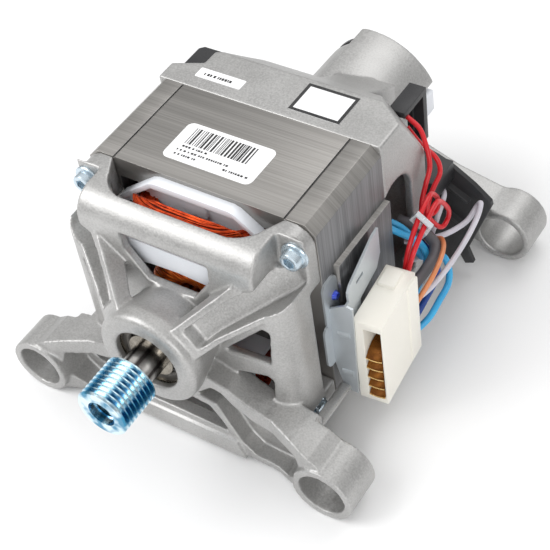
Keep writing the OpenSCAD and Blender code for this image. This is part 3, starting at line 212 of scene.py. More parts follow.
# Colour, second colour, patches per metre, metal, roughness low and high, grains per metre, bump
plainFinishes = {
    "zincPlate": ((0.60, 0.69, 0.75), (0.52, 0.61, 0.68), 90, 0.9, 0.24, 0.32, 900, 0.01),
    "darkRace": ((0.34, 0.31, 0.26), (0.20, 0.18, 0.15), 160, 1.0, 0.20, 0.34, 1500, 0.02),
    "polishedSteel": ((0.62, 0.62, 0.64), (0.50, 0.50, 0.52), 60, 1.0, 0.14, 0.28, 2600, 0.02),
    "bracketSheet": ((0.60, 0.64, 0.67), (0.54, 0.58, 0.61), 60, 0.55, 0.34, 0.42, 800, 0.01),
    "blueRivet": ((0.03, 0.05, 0.48), (0.12, 0.20, 0.66), 500, 0.6, 0.22, 0.32, 900, 0.01),
    "whitePlastic": ((0.84, 0.86, 0.90), (0.79, 0.82, 0.87), 45, 0, 0.28, 0.40, 1600, 0.06),
    "plugPlastic": ((0.92, 0.89, 0.81), (0.88, 0.85, 0.77), 40, 0, 0.28, 0.42, 1700, 0.06),
    "blackPlastic": ((0.016, 0.016, 0.018), (0.028, 0.028, 0.030), 70, 0, 0.34, 0.52, 1800, 0.14),
    "springBrass": ((0.80, 0.56, 0.20), (0.70, 0.46, 0.14), 260, 1.0, 0.16, 0.32, 1500, 0.05),
    "barCopper": ((0.72, 0.38, 0.20), (0.60, 0.28, 0.14), 200, 1.0, 0.22, 0.40, 1500, 0.05),
    "coilEnamel": ((0.27, 0.016, 0.003), (0.80, 0.10, 0.013), 330, 0.70, 0.28, 0.40, 900, 0.02),
    "rotorEnamel": ((0.64, 0.080, 0.010), (1.0, 0.28, 0.040), 260, 0.70, 0.28, 0.40, 900, 0.02),
    # coilShade: painted shade, the dark bodies seen between the coil wires
    "coilShade": ((0.10, 0.010, 0.004), (0.16, 0.016, 0.006), 200, 0, 0.5, 0.7, 1500, 0.3),
    "carbonBlock": ((0.03, 0.03, 0.032), (0.05, 0.05, 0.05), 300, 0, 0.5, 0.7, 2500, 0.3),
    "redCover": ((0.74, 0.012, 0.020), (0.60, 0.008, 0.016), 90, 0, 0.26, 0.38, 1800, 0.05),
    "blueCover": ((0.06, 0.46, 0.80), (0.04, 0.36, 0.70), 90, 0, 0.26, 0.38, 1800, 0.05),
    "navyCover": ((0.02, 0.08, 0.34), (0.015, 0.05, 0.25), 90, 0, 0.26, 0.38, 1800, 0.05),
    "greyCover": ((0.13, 0.125, 0.135), (0.09, 0.088, 0.095), 90, 0, 0.45, 0.60, 1800, 0.12),
    "orangeCover": ((0.78, 0.30, 0.13), (0.68, 0.24, 0.09), 90, 0, 0.28, 0.40, 1800, 0.05),
    "whiteCover": ((0.66, 0.64, 0.70), (0.58, 0.56, 0.62), 90, 0, 0.28, 0.40, 1800, 0.05),
    "sheetLabel": ((0.90, 0.90, 0.90), (0.86, 0.86, 0.87), 60, 0, 0.30, 0.42, 900, 0.02),
    "labelInk": ((0.012, 0.012, 0.013), (0.03, 0.03, 0.03), 200, 0, 0.40, 0.50, 900, 0.02),
    "fibreDisc": ((0.05, 0.14, 0.26), (0.03, 0.10, 0.20), 200, 0, 0.5, 0.65, 1600, 0.2),
    "sealSheet": ((0.13, 0.12, 0.105), (0.07, 0.065, 0.06), 200, 0.8, 0.28, 0.42, 1500, 0.05),
    # leaf faces: brass darkened as painted shade inside the slot; leaf edges: painted highlights
    "shadedLeafFace": ((0.21, 0.075, 0.006), (0.11, 0.032, 0.003), 180, 0.75, 0.26, 0.36, 900, 0.01),
    "leafEdgeHighlight": ((0.90, 0.62, 0.26), (0.82, 0.52, 0.18), 300, 0.6, 0.20, 0.30, 1500, 0.04),
}
plainSkin = {"detail": 4, "depth": 0.0003}  # the depth in metres


def makePlain(name, spec):
    first, second, patches, metal, roughLow, roughHigh, grains, bump = spec
    finish, tree, shader, place = newFinish(name)
    share = addRange(tree, addNoise(tree, place, patches), 0, 1)
    tree.links.new(addMix(tree, share, first, second), shader.inputs["Base Color"])
    grain = addNoise(tree, place, grains, plainSkin["detail"])
    addSkin(tree, shader, grain, grain, {"roughLow": roughLow, "roughHigh": roughHigh, "bump": bump,
                                         "depth": plainSkin["depth"], "metal": metal})
    return finish


finishes = {name: makePlain(name, spec) for name, spec in plainFinishes.items()}

# Edges of the sheets as lines across the shaft; a dark line of painted shade in the groove on each side of
# top and bottom
sheetStack = {
    "faceFirst": (0.272, 0.262, 0.248), "faceSecond": (0.378, 0.364, 0.347),
    # the sides get darker colours than the top and bottom: painted shade
    "shadedSideFirst": (0.135, 0.135, 0.139), "shadedSideSecond": (0.255, 0.255, 0.261),
    "lines": (10, 1500, 10), "bands": (7, 210, 7),  # marks per metre along x, y and z
    "lineDetail": 2, "bandDetail": 3, "lineShare": 0.62, "from": 0.36, "to": 0.64,
    "sideFrom": 0.75, "sideTo": 0.95, "topFrom": 0.9,  # share of the normal that faces there
    "grooveX": 0.0410, "grooveShadeHalf": 0.00042, "grooveShadeColor": (0.03, 0.03, 0.03),  # metres
    "metal": 0.80, "roughLow": 0.34, "roughHigh": 0.48, "bump": 0.20, "depth": 0.0002,
}


def makeStack(name, look):
    finish, tree, shader, place = newFinish(name)
    lines = addNoise(tree, place, 1, look["lineDetail"], look["lines"])
    bands = addNoise(tree, place, 1, look["bandDetail"], look["bands"])
    share = addRange(tree, addBlend(tree, lines, bands, look["lineShare"]), 0, 1,
                     look["from"], look["to"])
    face = addMix(tree, share, look["faceFirst"], look["faceSecond"])
    # painted shade: the sides, found by the normal, take the darker pair of colours
    side = addMix(tree, share, look["shadedSideFirst"], look["shadedSideSecond"])
    apart = tree.nodes.new("ShaderNodeSeparateXYZ")
    where = tree.nodes.new("ShaderNodeSeparateXYZ")
    tree.links.new(place.outputs["Normal"], apart.inputs["Vector"])
    tree.links.new(place.outputs["Object"], where.inputs["Vector"])
    onShadedSide = addRange(tree, addMath(tree, "ABSOLUTE", apart.outputs["X"]), 0, 1,
                      look["sideFrom"], look["sideTo"])
    # painted shade: a thin dark line along each groove on the top and bottom faces
    off = addMath(tree, "SUBTRACT", addMath(tree, "ABSOLUTE", where.outputs["X"]), look["grooveX"])
    weld = addMath(tree, "LESS_THAN", addMath(tree, "ABSOLUTE", off), look["grooveShadeHalf"])
    upward = addMath(tree, "ABSOLUTE", apart.outputs["Z"])
    onTop = addMath(tree, "GREATER_THAN", upward, look["topFrom"])
    color = addMix(tree, addMath(tree, "MULTIPLY", weld, onTop),
                   addMix(tree, onShadedSide, face, side), look["grooveShadeColor"])
    tree.links.new(color, shader.inputs["Base Color"])
    addSkin(tree, shader, bands, lines, look)
    return finish


# Sand-cast skin: grey patches with a fine speckle over them
castLook = {
    "first": (0.375, 0.371, 0.364), "second": (0.515, 0.511, 0.502),
    "patches": 48, "grains": 1250,  # per metre
    "patchDetail": 4, "grainDetail": 2,
    "patchShare": 0.4, "from": 0.36, "to": 0.62,
    "metal": 0.72, "roughLow": 0.36, "roughHigh": 0.52, "bump": 0.30, "depth": 0.0003,
}


def makeCast(name, look):
    finish, tree, shader, place = newFinish(name)
    patches = addNoise(tree, place, look["patches"], look["patchDetail"])
    grain = addNoise(tree, place, look["grains"], look["grainDetail"])
    share = addRange(tree, addBlend(tree, patches, grain, look["patchShare"]), 0, 1,
                     look["from"], look["to"])
    tree.links.new(addMix(tree, share, look["first"], look["second"]), shader.inputs["Base Color"])
    addSkin(tree, shader, grain, grain, look)
    return finish


# Turned steel and the blue-plated pulley, with painted reflections: pale and dark bands along the shaft
# stand for the bright and dark surroundings they mirror; marks per metre along x, y and z
paintedReflectionSkin = {
    "detail": 2, "grains": 1500, "grainDetail": 2,
    "metal": 1.0, "roughLow": 0.14, "roughHigh": 0.26, "bump": 0.02, "depth": 0.0002,
}
pulleyLook = {
    "reflectedLight": (0.70, 0.86, 0.93), "reflectedDark": (0.06, 0.26, 0.42),
    "marks": (150, 7, 150), "from": 0.44, "to": 0.60,
}
shaftLook = {
    "reflectedLight": (0.86, 0.84, 0.81), "reflectedDark": (0.07, 0.062, 0.06),
    "marks": (130, 5, 130), "from": 0.42, "to": 0.56,
}


def makePaintedReflections(name, look, skin):
    finish, tree, shader, place = newFinish(name)
    # painted reflection: pale and dark bands along the shaft, over the metal's own tint
    paintedBands = addNoise(tree, place, 1, skin["detail"], look["marks"])
    share = addRange(tree, paintedBands, 0, 1, look["from"], look["to"])
    tree.links.new(addMix(tree, share, look["reflectedLight"], look["reflectedDark"]), shader.inputs["Base Color"])
    addSkin(tree, shader, paintedBands, addNoise(tree, place, skin["grains"], skin["grainDetail"]), skin)
    return finish


# Clear plastic of the cable ties
tieLook = {
    "color": (0.84, 0.88, 0.92), "grains": 900, "detail": 3, "clear": 0.35, "bend": 1.45,
    "metal": 0, "roughLow": 0.15, "roughHigh": 0.3, "bump": 0.05, "depth": 0.0002,
}


def makeClear(name, look):
    finish, tree, shader, place = newFinish(name)
    grain = addNoise(tree, place, look["grains"], look["detail"])
    addSkin(tree, shader, grain, grain, look)
    shader.inputs["Base Color"].default_value = (*look["color"], 1)
    shader.inputs["Transmission Weight"].default_value = look["clear"]
    shader.inputs["IOR"].default_value = look["bend"]
    return finish


finishes["stackSheets"] = makeStack("stackSheets", sheetStack)
finishes["castMetal"] = makeCast("castMetal", castLook)
finishes["bluePlatePaintedReflections"] = makePaintedReflections("bluePlatePaintedReflections", pulleyLook, paintedReflectionSkin)
finishes["steelPaintedReflections"] = makePaintedReflections("steelPaintedReflections", shaftLook, paintedReflectionSkin)
finishes["clearTie"] = makeClear("clearTie", tieLook)
print("finishes made:", len(finishes))


# Makers that several pieces share
def giveFinish(obj, name):
    obj.data.materials.clear()
    obj.data.materials.append(finishes[name])


def addObject(name, mesh):
    obj = bpy.data.objects.new(name, mesh)
    bpy.context.collection.objects.link(obj)
    return obj


def copyNode(name, nodeName):
    return addObject(name, nodes[nodeName].data.copy())


def addPiece(name, verts, faces, finish, body, smooth=False):
    mesh = bpy.data.meshes.new(name)
    mesh.from_pydata([tuple(v) for v in verts], [], faces)
    mesh.validate()
    obj = addObject(name, mesh)
    giveFinish(obj, finish)
    if smooth:
        mesh.shade_smooth()
    else:
        mesh.shade_flat()
    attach(obj, body)
    return obj


def addWeld(obj):
    weld = obj.modifiers.new("weld", "WELD")
    weld.merge_threshold = mergeGap


def plainMesh(obj):
    # The evaluated result as a mesh of its own, with the modifiers gone
    ready = obj.evaluated_get(bpy.context.evaluated_depsgraph_get())
    mesh = bpy.data.meshes.new_from_object(ready)
    obj.modifiers.clear()
    obj.data = mesh


def ringFaces(around, section, turned):
    # Quads of a closed ring whose vertices run section by section
    faces, total = [], around * section
    for i in range(around):
        for k in range(section):
            a, b = i * section + k, i * section + (k + 1) % section
            c, d = (a + section) % total, (b + section) % total
            faces.append((a, b, d, c) if turned else (a, c, d, b))
    return faces


def makeRoundTree():
    # Round wire along every edge path of a mesh
    tree = bpy.data.node_groups.new("roundWire", "GeometryNodeTree")
    for name, way, kind in (("Geometry", "INPUT", "Geometry"), ("Radius", "INPUT", "Float"),
                            ("Sides", "INPUT", "Int"), ("Finish", "INPUT", "Material"),
                            ("Geometry", "OUTPUT", "Geometry")):
        tree.interface.new_socket(name, in_out=way, socket_type="NodeSocket" + kind)
    add, link = tree.nodes.new, tree.links.new
    start, end = add("NodeGroupInput"), add("NodeGroupOutput")
    path, ring = add("GeometryNodeMeshToCurve"), add("GeometryNodeCurvePrimitiveCircle")
    sweep, soft = add("GeometryNodeCurveToMesh"), add("GeometryNodeSetShadeSmooth")
    real, paint = add("GeometryNodeRealizeInstances"), add("GeometryNodeSetMaterial")
    link(start.outputs["Geometry"], path.inputs["Mesh"])
    link(start.outputs["Radius"], ring.inputs["Radius"])
    link(start.outputs["Sides"], ring.inputs["Resolution"])
    link(path.outputs["Curve"], sweep.inputs["Curve"])
    link(ring.outputs["Curve"], sweep.inputs["Profile Curve"])
    sweep.inputs["Fill Caps"].default_value = True
    link(sweep.outputs["Mesh"], soft.inputs["Geometry"])
    link(soft.outputs["Geometry"], real.inputs["Geometry"])
    link(real.outputs["Geometry"], paint.inputs["Geometry"])
    link(start.outputs["Finish"], paint.inputs["Material"])
    link(paint.outputs["Geometry"], end.inputs["Geometry"])
    return tree


roundWire = makeRoundTree()


def wireAlong(name, routes, radius, sides, finish, body, closed=False):
    verts, edges = [], []
    for route in routes:
        first = len(verts)
        verts += [tuple(p) for p in route]
        edges += [(first + i, first + i + 1) for i in range(len(route) - 1)]
        if closed:
            edges.append((first + len(route) - 1, first))
    mesh = bpy.data.meshes.new(name)
    mesh.from_pydata(verts, edges, [])
    obj = addObject(name, mesh)
    modifier = obj.modifiers.new("roundWire", "NODES")
    modifier.node_group = roundWire
    items = roundWire.interface.items_tree
    sockets = {item.name: item.identifier for item in items if item.in_out == "INPUT"}
    modifier[sockets["Radius"]] = radius * mm
    modifier[sockets["Sides"]] = sides
    modifier[sockets["Finish"]] = finishes[finish]
    plainMesh(obj)
    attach(obj, body)
    return obj


# Cast end shields, with their edges rounded as a casting's are
castSetup = {
    "voxel": 0.00065, "quickTimes": 2,
    "smoothTimes": 5, "smoothShare": 0.5,
    "keep": 0.30,  # share of the faces kept after rounding
}


def makeCasting(name, nodeNames, setup):
    obj = copyNode(name, nodeNames[0])
    for other in nodeNames[1:]:
        join = bmesh.new()
        join.from_mesh(obj.data)
        join.from_mesh(nodes[other].data)
        join.to_mesh(obj.data)
        join.free()
    addWeld(obj)
    remesh = obj.modifiers.new("remesh", "REMESH")
    remesh.mode = "VOXEL"
    remesh.voxel_size = setup["voxel"] * 1
    soften = obj.modifiers.new("soften", "SMOOTH")
    soften.factor = setup["smoothShare"]
    soften.iterations = setup["smoothTimes"]
    thin = obj.modifiers.new("thin", "DECIMATE")
    thin.ratio = setup["keep"]
    plainMesh(obj)
    obj.data.shade_smooth()
    giveFinish(obj, "castMetal")
    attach(obj, "stator")
    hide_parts(*nodeNames)
    print(name, "faces:", len(obj.data.polygons))


makeCasting("frontShieldCasting", ["front_shield", "front_arms"], castSetup)
makeCasting("rearShieldCasting", ["rear_shield"], castSetup)
print("castings made")

# Field coils of single wires round each pole, over a dark body of painted shade between the wires
coilShape = {
    "poleX": 25.2, "endY": 30.9,  # inner half sizes
    "outX": 5.0, "outY": 10.4,  # build-up outside them
    "middleY": 95, "low": 29.9, "high": 39.3,
    "spread": 7.6, "spreadFrom": 30, "spreadOver": 5,  # how much higher the end turns stand
    "outer": 25, "top": 19, "loose": 16,  # wires up the outside, across the top and loose
    "outerStart": 0.5, "topStart": 0.4,  # where the first one lies, in steps between two wires
    "looseOut": (0.72, 0.97), "looseUp": (0.55, 0.97),  # shares of the build-up
    "waves": 1.6, "drift": 50, "apart": 9,  # the noise by which each wire strays
    "sway": 0.05, "lift": 0.07, "most": 1.03,  # how far it strays, and the furthest out
    "wire": 0.29, "sides": 6, "points": 72,
    "bodyRim": [(0, 0), (0.93, 0), (0.95, 0.5), (0.93, 0.94), (0.5, 0.96), (0, 0.94)],  # out and up
    "bodyPoints": 96,
}


def bulge(value):
    # Turns a circle's sine or cosine into that of a squarish loop
    return math.copysign(math.sqrt(abs(value)), value)


def coilPoint(shape, turn, out, up, flip):
    x = (shape["poleX"] + out * shape["outX"]) * bulge(math.cos(turn))
    y = (shape["endY"] + out * shape["outY"]) * bulge(math.sin(turn))
    s = max(0.0, min(1.0, (abs(y) - shape["spreadFrom"]) / shape["spreadOver"]))
    z = shape["low"] + (shape["high"] - shape["low"] + s * s * (3 - 2 * s) * shape["spread"]) * up
    return Vector((-x if flip else x, shape["middleY"] + y, -z if flip else z)) * mm


def makeCoil(name, nodeName, shape, flip, seed):
    random.seed(seed)
    starts = [(1.0, (i + shape["outerStart"]) / shape["outer"]) for i in range(shape["outer"])]
    starts += [((i + shape["topStart"]) / shape["top"], 1.0) for i in range(shape["top"])]
    starts += [(random.uniform(*shape["looseOut"]), random.uniform(*shape["looseUp"]))
               for i in range(shape["loose"])]
    routes = []
    for out, up in starts:
        drift, route = random.uniform(0, shape["drift"]), []
        for i in range(shape["points"]):
            turn = 2 * math.pi * i / shape["points"]
            x, y = math.cos(turn) * shape["waves"], math.sin(turn) * shape["waves"]
            sway = shape["sway"] * noise.noise(Vector((x, y, drift)))
            lift = shape["lift"] * noise.noise(Vector((x, y, drift + shape["apart"])))
            route.append(coilPoint(shape, turn, min(shape["most"], out + sway),
                                   min(shape["most"], up + lift), flip))
        routes.append(route)
    wires = wireAlong(name, routes, shape["wire"], shape["sides"], "coilEnamel", "stator", closed=True)
    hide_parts(nodeName)
    count, rim = shape["bodyPoints"], shape["bodyRim"]
    verts = [coilPoint(shape, 2 * math.pi * i / count, out, up, flip)
             for i in range(count) for out, up in rim]
    addPiece(name + "Body", verts, ringFaces(count, len(rim), True), "coilShade", "stator")


makeCoil("fieldCoilTopWires", "field_coil_top", coilShape, False, 11)
makeCoil("fieldCoilBottomWires", "field_coil_bottom", coilShape, True, 12)

# End turns of the armature: skewed wires round a dark ring of painted shade between the wires
rotorTurns = {
    "ringR": 15.9, "halfR": 6.6, "halfY": 7.0,
    "skew": 22,  # degrees
    "count": 78, "points": 30, "wire": 0.48, "sides": 6, "swell": (-0.35, 0.25), "seed": 5,
    "bodyInside": 0.7, "bodyAround": 48, "bodySection": 16,
    "frontY": 60.35, "rearY": 129.3,
}


def turnPoint(shape, middleY, around, section, swell):
    r = shape["ringR"] + (shape["halfR"] + swell) * math.cos(section)
    y = middleY + (shape["halfY"] + swell) * math.sin(section)
    return Vector((r * math.cos(around), y, r * math.sin(around))) * mm


def makeRotorTurns(name, nodeName, shape, middleY, side):
    random.seed(shape["seed"])
    routes = []
    for k in range(shape["count"]):
        swell, route = random.uniform(*shape["swell"]), []
        for i in range(shape["points"]):
            section = 2 * math.pi * i / shape["points"]
            skew = side * math.radians(shape["skew"]) * math.cos(section)
            around = 2 * math.pi * k / shape["count"] + skew
            route.append(turnPoint(shape, middleY, around, section, swell))
        routes.append(route)
    wires = wireAlong(name, routes, shape["wire"], shape["sides"], "rotorEnamel", "rotor", closed=True)
    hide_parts(nodeName)
    count, parts, full = shape["bodyAround"], shape["bodySection"], 2 * math.pi
    verts = [turnPoint(shape, middleY, full * i / count, full * k / parts, -shape["bodyInside"])
             for i in range(count) for k in range(parts)]
    addPiece(name + "Body", verts, ringFaces(count, parts, False), "coilShade", "rotor", smooth=True)


makeRotorTurns("rotorTurnsFront", "armature_winding_front", rotorTurns, rotorTurns["frontY"], 1)
makeRotorTurns("rotorTurnsRear", "armature_winding_rear", rotorTurns, rotorTurns["rearY"], -1)
print("windings made")

# Leads: finish, radius and routes, which are those of the part's source
leadSetup = {"steps": 8, "sides": 16}
leadRoutes = {
    "red_leads": ("redCover", 1.1, [
        [(70.2, 101.9, -3.4), (69.8, 106.6, -3.4), (69.7, 110, 0), (70.6, 114, 8),
         (70, 124.5, 12.6), (69, 133.7, 14.4), (68, 141, 11.2), (67, 149.5, -0.7),
         (66, 151.4, -8), (65, 148.4, -11.5), (63.8, 145, -8.5), (61.8, 141, 0.6),
         (61.2, 144, 6.5), (61, 149, 9.8), (61, 154.5, 12.8), (59.8, 156, 17.4),
         (56.5, 156.8, 20.4), (50, 158.6, 22), (43, 160, 28)],
        [(70.2, 101.9, -9.2), (69.8, 106.6, -9.2), (67.4, 110.5, -4), (67.6, 114.5, 7),
         (67, 124.5, 14.8), (66, 134, 17), (65, 140, 15), (64.2, 146, 7), (63.2, 147.5, 0),
         (61.3, 146, -3.4), (59.2, 141.8, -0.6), (58.7, 142, 5.4), (58.6, 146, 12),
         (58.4, 150.5, 17.5), (57.2, 152.6, 22.5), (54.5, 155, 27), (50, 158.4, 31),
         (43, 160, 34)]]),
    "blue_leads": ("blueCover", 1.5, [
        [(70.2, 101.9, -26.5), (69.8, 106.6, -26.5), (68.6, 112, -26), (67.2, 120, -22.5),
         (66.4, 127, -19.5), (66, 131.5, -15.5), (64.2, 132.3, -10.5), (61.9, 130, -4.5),
         (59.4, 126.2, 0.5), (55.5, 123.7, 4), (51, 123, 6)],
        [(70.2, 101.9, -38), (69.8, 106.6, -38), (71.5, 111, -37.5), (74.2, 117, -34.5),
         (74.8, 125, -31.5), (74.2, 134, -30.5), (72, 139.6, -28), (69, 141.5, -23.2),
         (65.5, 139.8, -20.6), (62.3, 133.6, -18), (60, 132.4, -11), (58.2, 131, -4),
         (55.5, 129.5, 0.5), (51, 128.5, 3)]]),
    "navy_lead": ("navyCover", 1.4, [
        [(70.2, 101.9, -32.3), (69.8, 106.6, -32.3), (70, 112, -32), (70.4, 120, -29),
         (70, 129, -27.5), (69.5, 134, -26), (67.5, 136.3, -22), (66, 135.4, -17.6),
         (63.6, 136, -14.4), (60, 136.5, -12), (56, 136, -10.5), (51, 135, -9.5)]]),
    "grey_sleeve": ("greyCover", 2.5, [
        [(69.7, 107.8, -14.6), (69.9, 113, -12.4), (70.4, 121, -11.8), (70, 130, -11.6),
         (67.6, 136, -10.6), (63.5, 138, -8.6), (59, 138, -5.4), (54, 137, -4), (50, 136.5, -3.6)]]),
    "orange_lead": ("orangeCover", 1.1, [
        [(71.8, 102.1, -20.7), (71.4, 107, -20.7), (73.5, 110.5, -16.5), (75.2, 115, -12),
         (75.6, 120, -9.8), (74.3, 128.5, -9), (71.9, 135.8, -9.4), (68, 141.4, -11.8),
         (64.4, 143, -14.6), (60, 141, -14.6), (56, 139.3, -13.8), (51, 138.4, -13.4)]]),
    "white_leads": ("whiteCover", 1.25, [
        [(69, 101.8, -20.7), (68.6, 106.7, -20.7), (70.3, 110.5, -20.2), (73.5, 115, -17.6),
         (75.4, 121, -16.2), (76.2, 132, -15.8), (75.4, 145, -16.9), (74.6, 156, -16.4),
         (74.4, 163, -13.4), (73.6, 167, -10.5), (71.6, 167, -13.5), (70, 161.5, -17.4),
         (67.3, 156, -18.8), (64.6, 150.5, -18.6), (61, 146, -18.4), (57, 141, -18.2),
         (51, 138.4, -18)],
        [(51, 136.5, -28), (56, 138, -26.5), (59, 143, -24), (59, 148, -19.5),
         (59.4, 153, -13.5), (59.2, 158, -9.4), (57.6, 163.5, -8.2), (54, 166.5, -8),
         (50, 167, -8.2)]]),
}


def smoothRoute(points, steps):
    # The same even curve through the points as in the part's source
    points, route = [Vector(p) for p in points], []
    for i in range((len(points) - 1) * steps + 1):
        k = min(i // steps, len(points) - 2)
        t = i / steps - k
        a, b = points[max(k - 1, 0)], points[k]
        c, d = points[k + 1], points[min(k + 2, len(points) - 1)]
        route.append((b + (c - a) * t / 2 + (2 * a - 5 * b + 4 * c - d) * t ** 2 / 2
                      + (3 * b - a - 3 * c + d) * t ** 3 / 2) * mm)
    return route


for nodeName, (finish, radius, routes) in leadRoutes.items():
    lead = wireAlong(nodeName.replace("_", ""), [smoothRoute(r, leadSetup["steps"]) for r in routes],
                     radius, leadSetup["sides"], finish, "stator")
    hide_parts(nodeName)
print("leads made")

# Mouldings and the stack, with small rounded edges: width of the edge and finish
roundedNodes = {
    "plug_housing": (0.35, "plugPlastic"),
    "bobbin_top": (0.30, "whitePlastic"),
    "bobbin_bottom": (0.30, "whitePlastic"),
    "brush_holder_right": (0.30, "blackPlastic"),
    "brush_holder_left": (0.30, "blackPlastic"),
    "wire_guide": (0.30, "blackPlastic"),
    "tacho_socket": (0.25, "whitePlastic"),
    "stator_core": (0.18, "stackSheets"),
}
edgeSetup = {"segments": 2, "flat": 0.5, "from": 32, "sharp": 38}  # angles in degrees
# The left holder's cover stands lower in the photograph: tops above this height come down
coverTop = {"node": "brush_holder_left", "above": 50, "drop": 6}


def roundEdges(nodeName, width, finish, setup):
    obj = copyNode(nodeName.replace("_", "") + "Rounded", nodeName)
    if nodeName == coverTop["node"]:
        for vertex in obj.data.vertices:
            if vertex.co.z > coverTop["above"] * mm:
                vertex.co.z -= coverTop["drop"] * mm
    addWeld(obj)
    flat = obj.modifiers.new("flat", "DECIMATE")
    flat.decimate_type = "DISSOLVE"
    flat.angle_limit = math.radians(setup["flat"])
    edge = obj.modifiers.new("edge", "BEVEL")
    edge.width = width * mm
    edge.segments = setup["segments"]
    edge.limit_method = "ANGLE"
    edge.angle_limit = math.radians(setup["from"])
    plainMesh(obj)
    obj.data.shade_smooth()
    obj.data.set_sharp_from_angle(angle=math.radians(setup["sharp"]))
    giveFinish(obj, finish)
    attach(obj, "stator")
    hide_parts(nodeName)


for nodeName, (width, finish) in roundedNodes.items():
    roundEdges(nodeName, width, finish, edgeSetup)
print("mouldings rounded:", len(roundedNodes))

# Finishes of the nodes that stay as they are
nodeFinishes = {
    "polishedSteel": ["front_bearing_balls", "rear_bearing_outer", "rear_bearing_inner",
                      "rear_bearing_balls", "wave_washer"],
    "steelPaintedReflections": ["shaft"],
    "darkRace": ["front_bearing_outer", "front_bearing_inner"],
    "bluePlatePaintedReflections": ["drive_pulley"],
    "zincPlate": ["cap_screws"],
    "bracketSheet": ["plug_bracket"],
    "blueRivet": ["bracket_rivets"],
    "springBrass": ["brush_tube_left", "brush_tube_right", "front_bearing_cage", "rear_bearing_cage"],
    "barCopper": ["commutator_bars"],
    "blackPlastic": ["commutator_hub", "tacho_cap"],
    "carbonBlock": ["carbon_brush_left", "carbon_brush_right", "tacho_magnet"],
    "whitePlastic": ["tacho_coil"],
    "stackSheets": ["armature_core"],
    "fibreDisc": ["end_discs"],
    "sealSheet": ["front_bearing_seal"],
    "clearTie": ["cable_ties"],
    "sheetLabel": ["rating_label", "batch_label", "framed_label"],
}
nodeShading = {"sharp": 35, "flat": ["plug_bracket"]}  # degrees, and the nodes of flat sheet

for finish, names in nodeFinishes.items():
    for nodeName in names:
        giveFinish(nodes[nodeName], finish)
        nodes[nodeName].data.shade_smooth()
        nodes[nodeName].data.set_sharp_from_angle(angle=math.radians(nodeShading["sharp"]))
for nodeName in nodeShading["flat"]:
    nodes[nodeName].data.shade_flat()
print("node finishes given")

# Brush springs, copied from their nodes and given a finish of their own
brushSprings = {"travel": 3.0, "sides": {"right": 1, "left": -1}}

for side, sign in brushSprings["sides"].items():
    nodeName = "brush_spring_" + side
    spring = copyNode("brushSpring" + side.title(), nodeName)
    addWeld(spring)
    plainMesh(spring)
    spring.data.shade_smooth()
    giveFinish(spring, "polishedSteel")
    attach(spring, "stator")
    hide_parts(nodeName)
    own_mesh(spring)
print("brush springs made")

# The four long screws with their washers, turned about their own axes
tieScrews = {
    "x": 50.0, "z": 44.5, "sides": 48, "sharp": 32,  # the last in degrees
    # y along the motor and radius, from the far end to the rim of the socket; 0.02 closes an end
    "profile": [(132.0, 0.02), (132.0, 2.5), (62.0, 2.5), (61.95, 5.9), (61.3, 6.0), (60.85, 5.7),
                (60.8, 4.6), (60.6, 4.3), (57.6, 4.3), (57.0, 4.0), (56.8, 3.4), (56.82, 2.75)],
    "socket": 2.25,  # half width of the hexagon
    "recess": [(56.95, 1.0), (59.3, 0.98), (59.5, 0.02)],  # y and share of the hexagon
}


def makeTieScrews(shape):
    verts, faces, sides = [], [], shape["sides"]
    rings = [(y, r, False) for y, r in shape["profile"]]
    rings += [(y, r * shape["socket"], True) for y, r in shape["recess"]]
    sixth = math.pi / 3
    for x0, z0 in ((x, z) for x in (-shape["x"], shape["x"]) for z in (-shape["z"], shape["z"])):
        first = len(verts)
        for y, r, hexagon in rings:
            for i in range(sides):
                a = 2 * math.pi * i / sides
                flat = (a + sixth / 2) % sixth - sixth / 2
                reach = r / math.cos(flat) if hexagon else r
                verts.append(Vector((x0 + reach * math.cos(a), y, z0 + reach * math.sin(a))) * mm)
        for k in range(len(rings) - 1):
            for i in range(sides):
                a, b = first + k * sides + i, first + k * sides + (i + 1) % sides
                faces.append((a, b, b + sides, a + sides))
        faces.append([first + i for i in reversed(range(sides))])
        faces.append([first + (len(rings) - 1) * sides + i for i in range(sides)])
    screws = addPiece("tieScrewsAndWashers", verts, faces, "zincPlate", "stator", smooth=True)
    screws.data.set_sharp_from_angle(angle=math.radians(shape["sharp"]))
    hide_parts("tie_screws", "tie_washers")


makeTieScrews(tieScrews)
print("tie screws made")

# Bent contact leaves in the plug's slot, placed as the housing is; their faces are brass darkened as
# painted shade, and bright wires along their front edges are painted highlights
plugLeaves = {
    "place": (64.5, 73.0, 3.3), "turn": 5,  # degrees
    "from": 4.7, "to": 11.8, "low": -44.2, "pitch": 5.771, "count": 5,
    # way into the slot and height of the leaf there
    "profile": [(-0.4, -2.3), (0.5, -1.9), (1.8, -0.7), (3.6, 0.1), (6.5, 0.4), (26.5, 0.4)],
    "topTall": 2.6,  # the top leaf rises this many times as much
    "sag": 0.55, "bentRows": 3, "flatSag": 0.3,  # the rows behind the bent ones sag by that share
    "thick": 0.35, "parts": 8, "sharp": 50, "edge": 0.32, "edgeSides": 6,
}


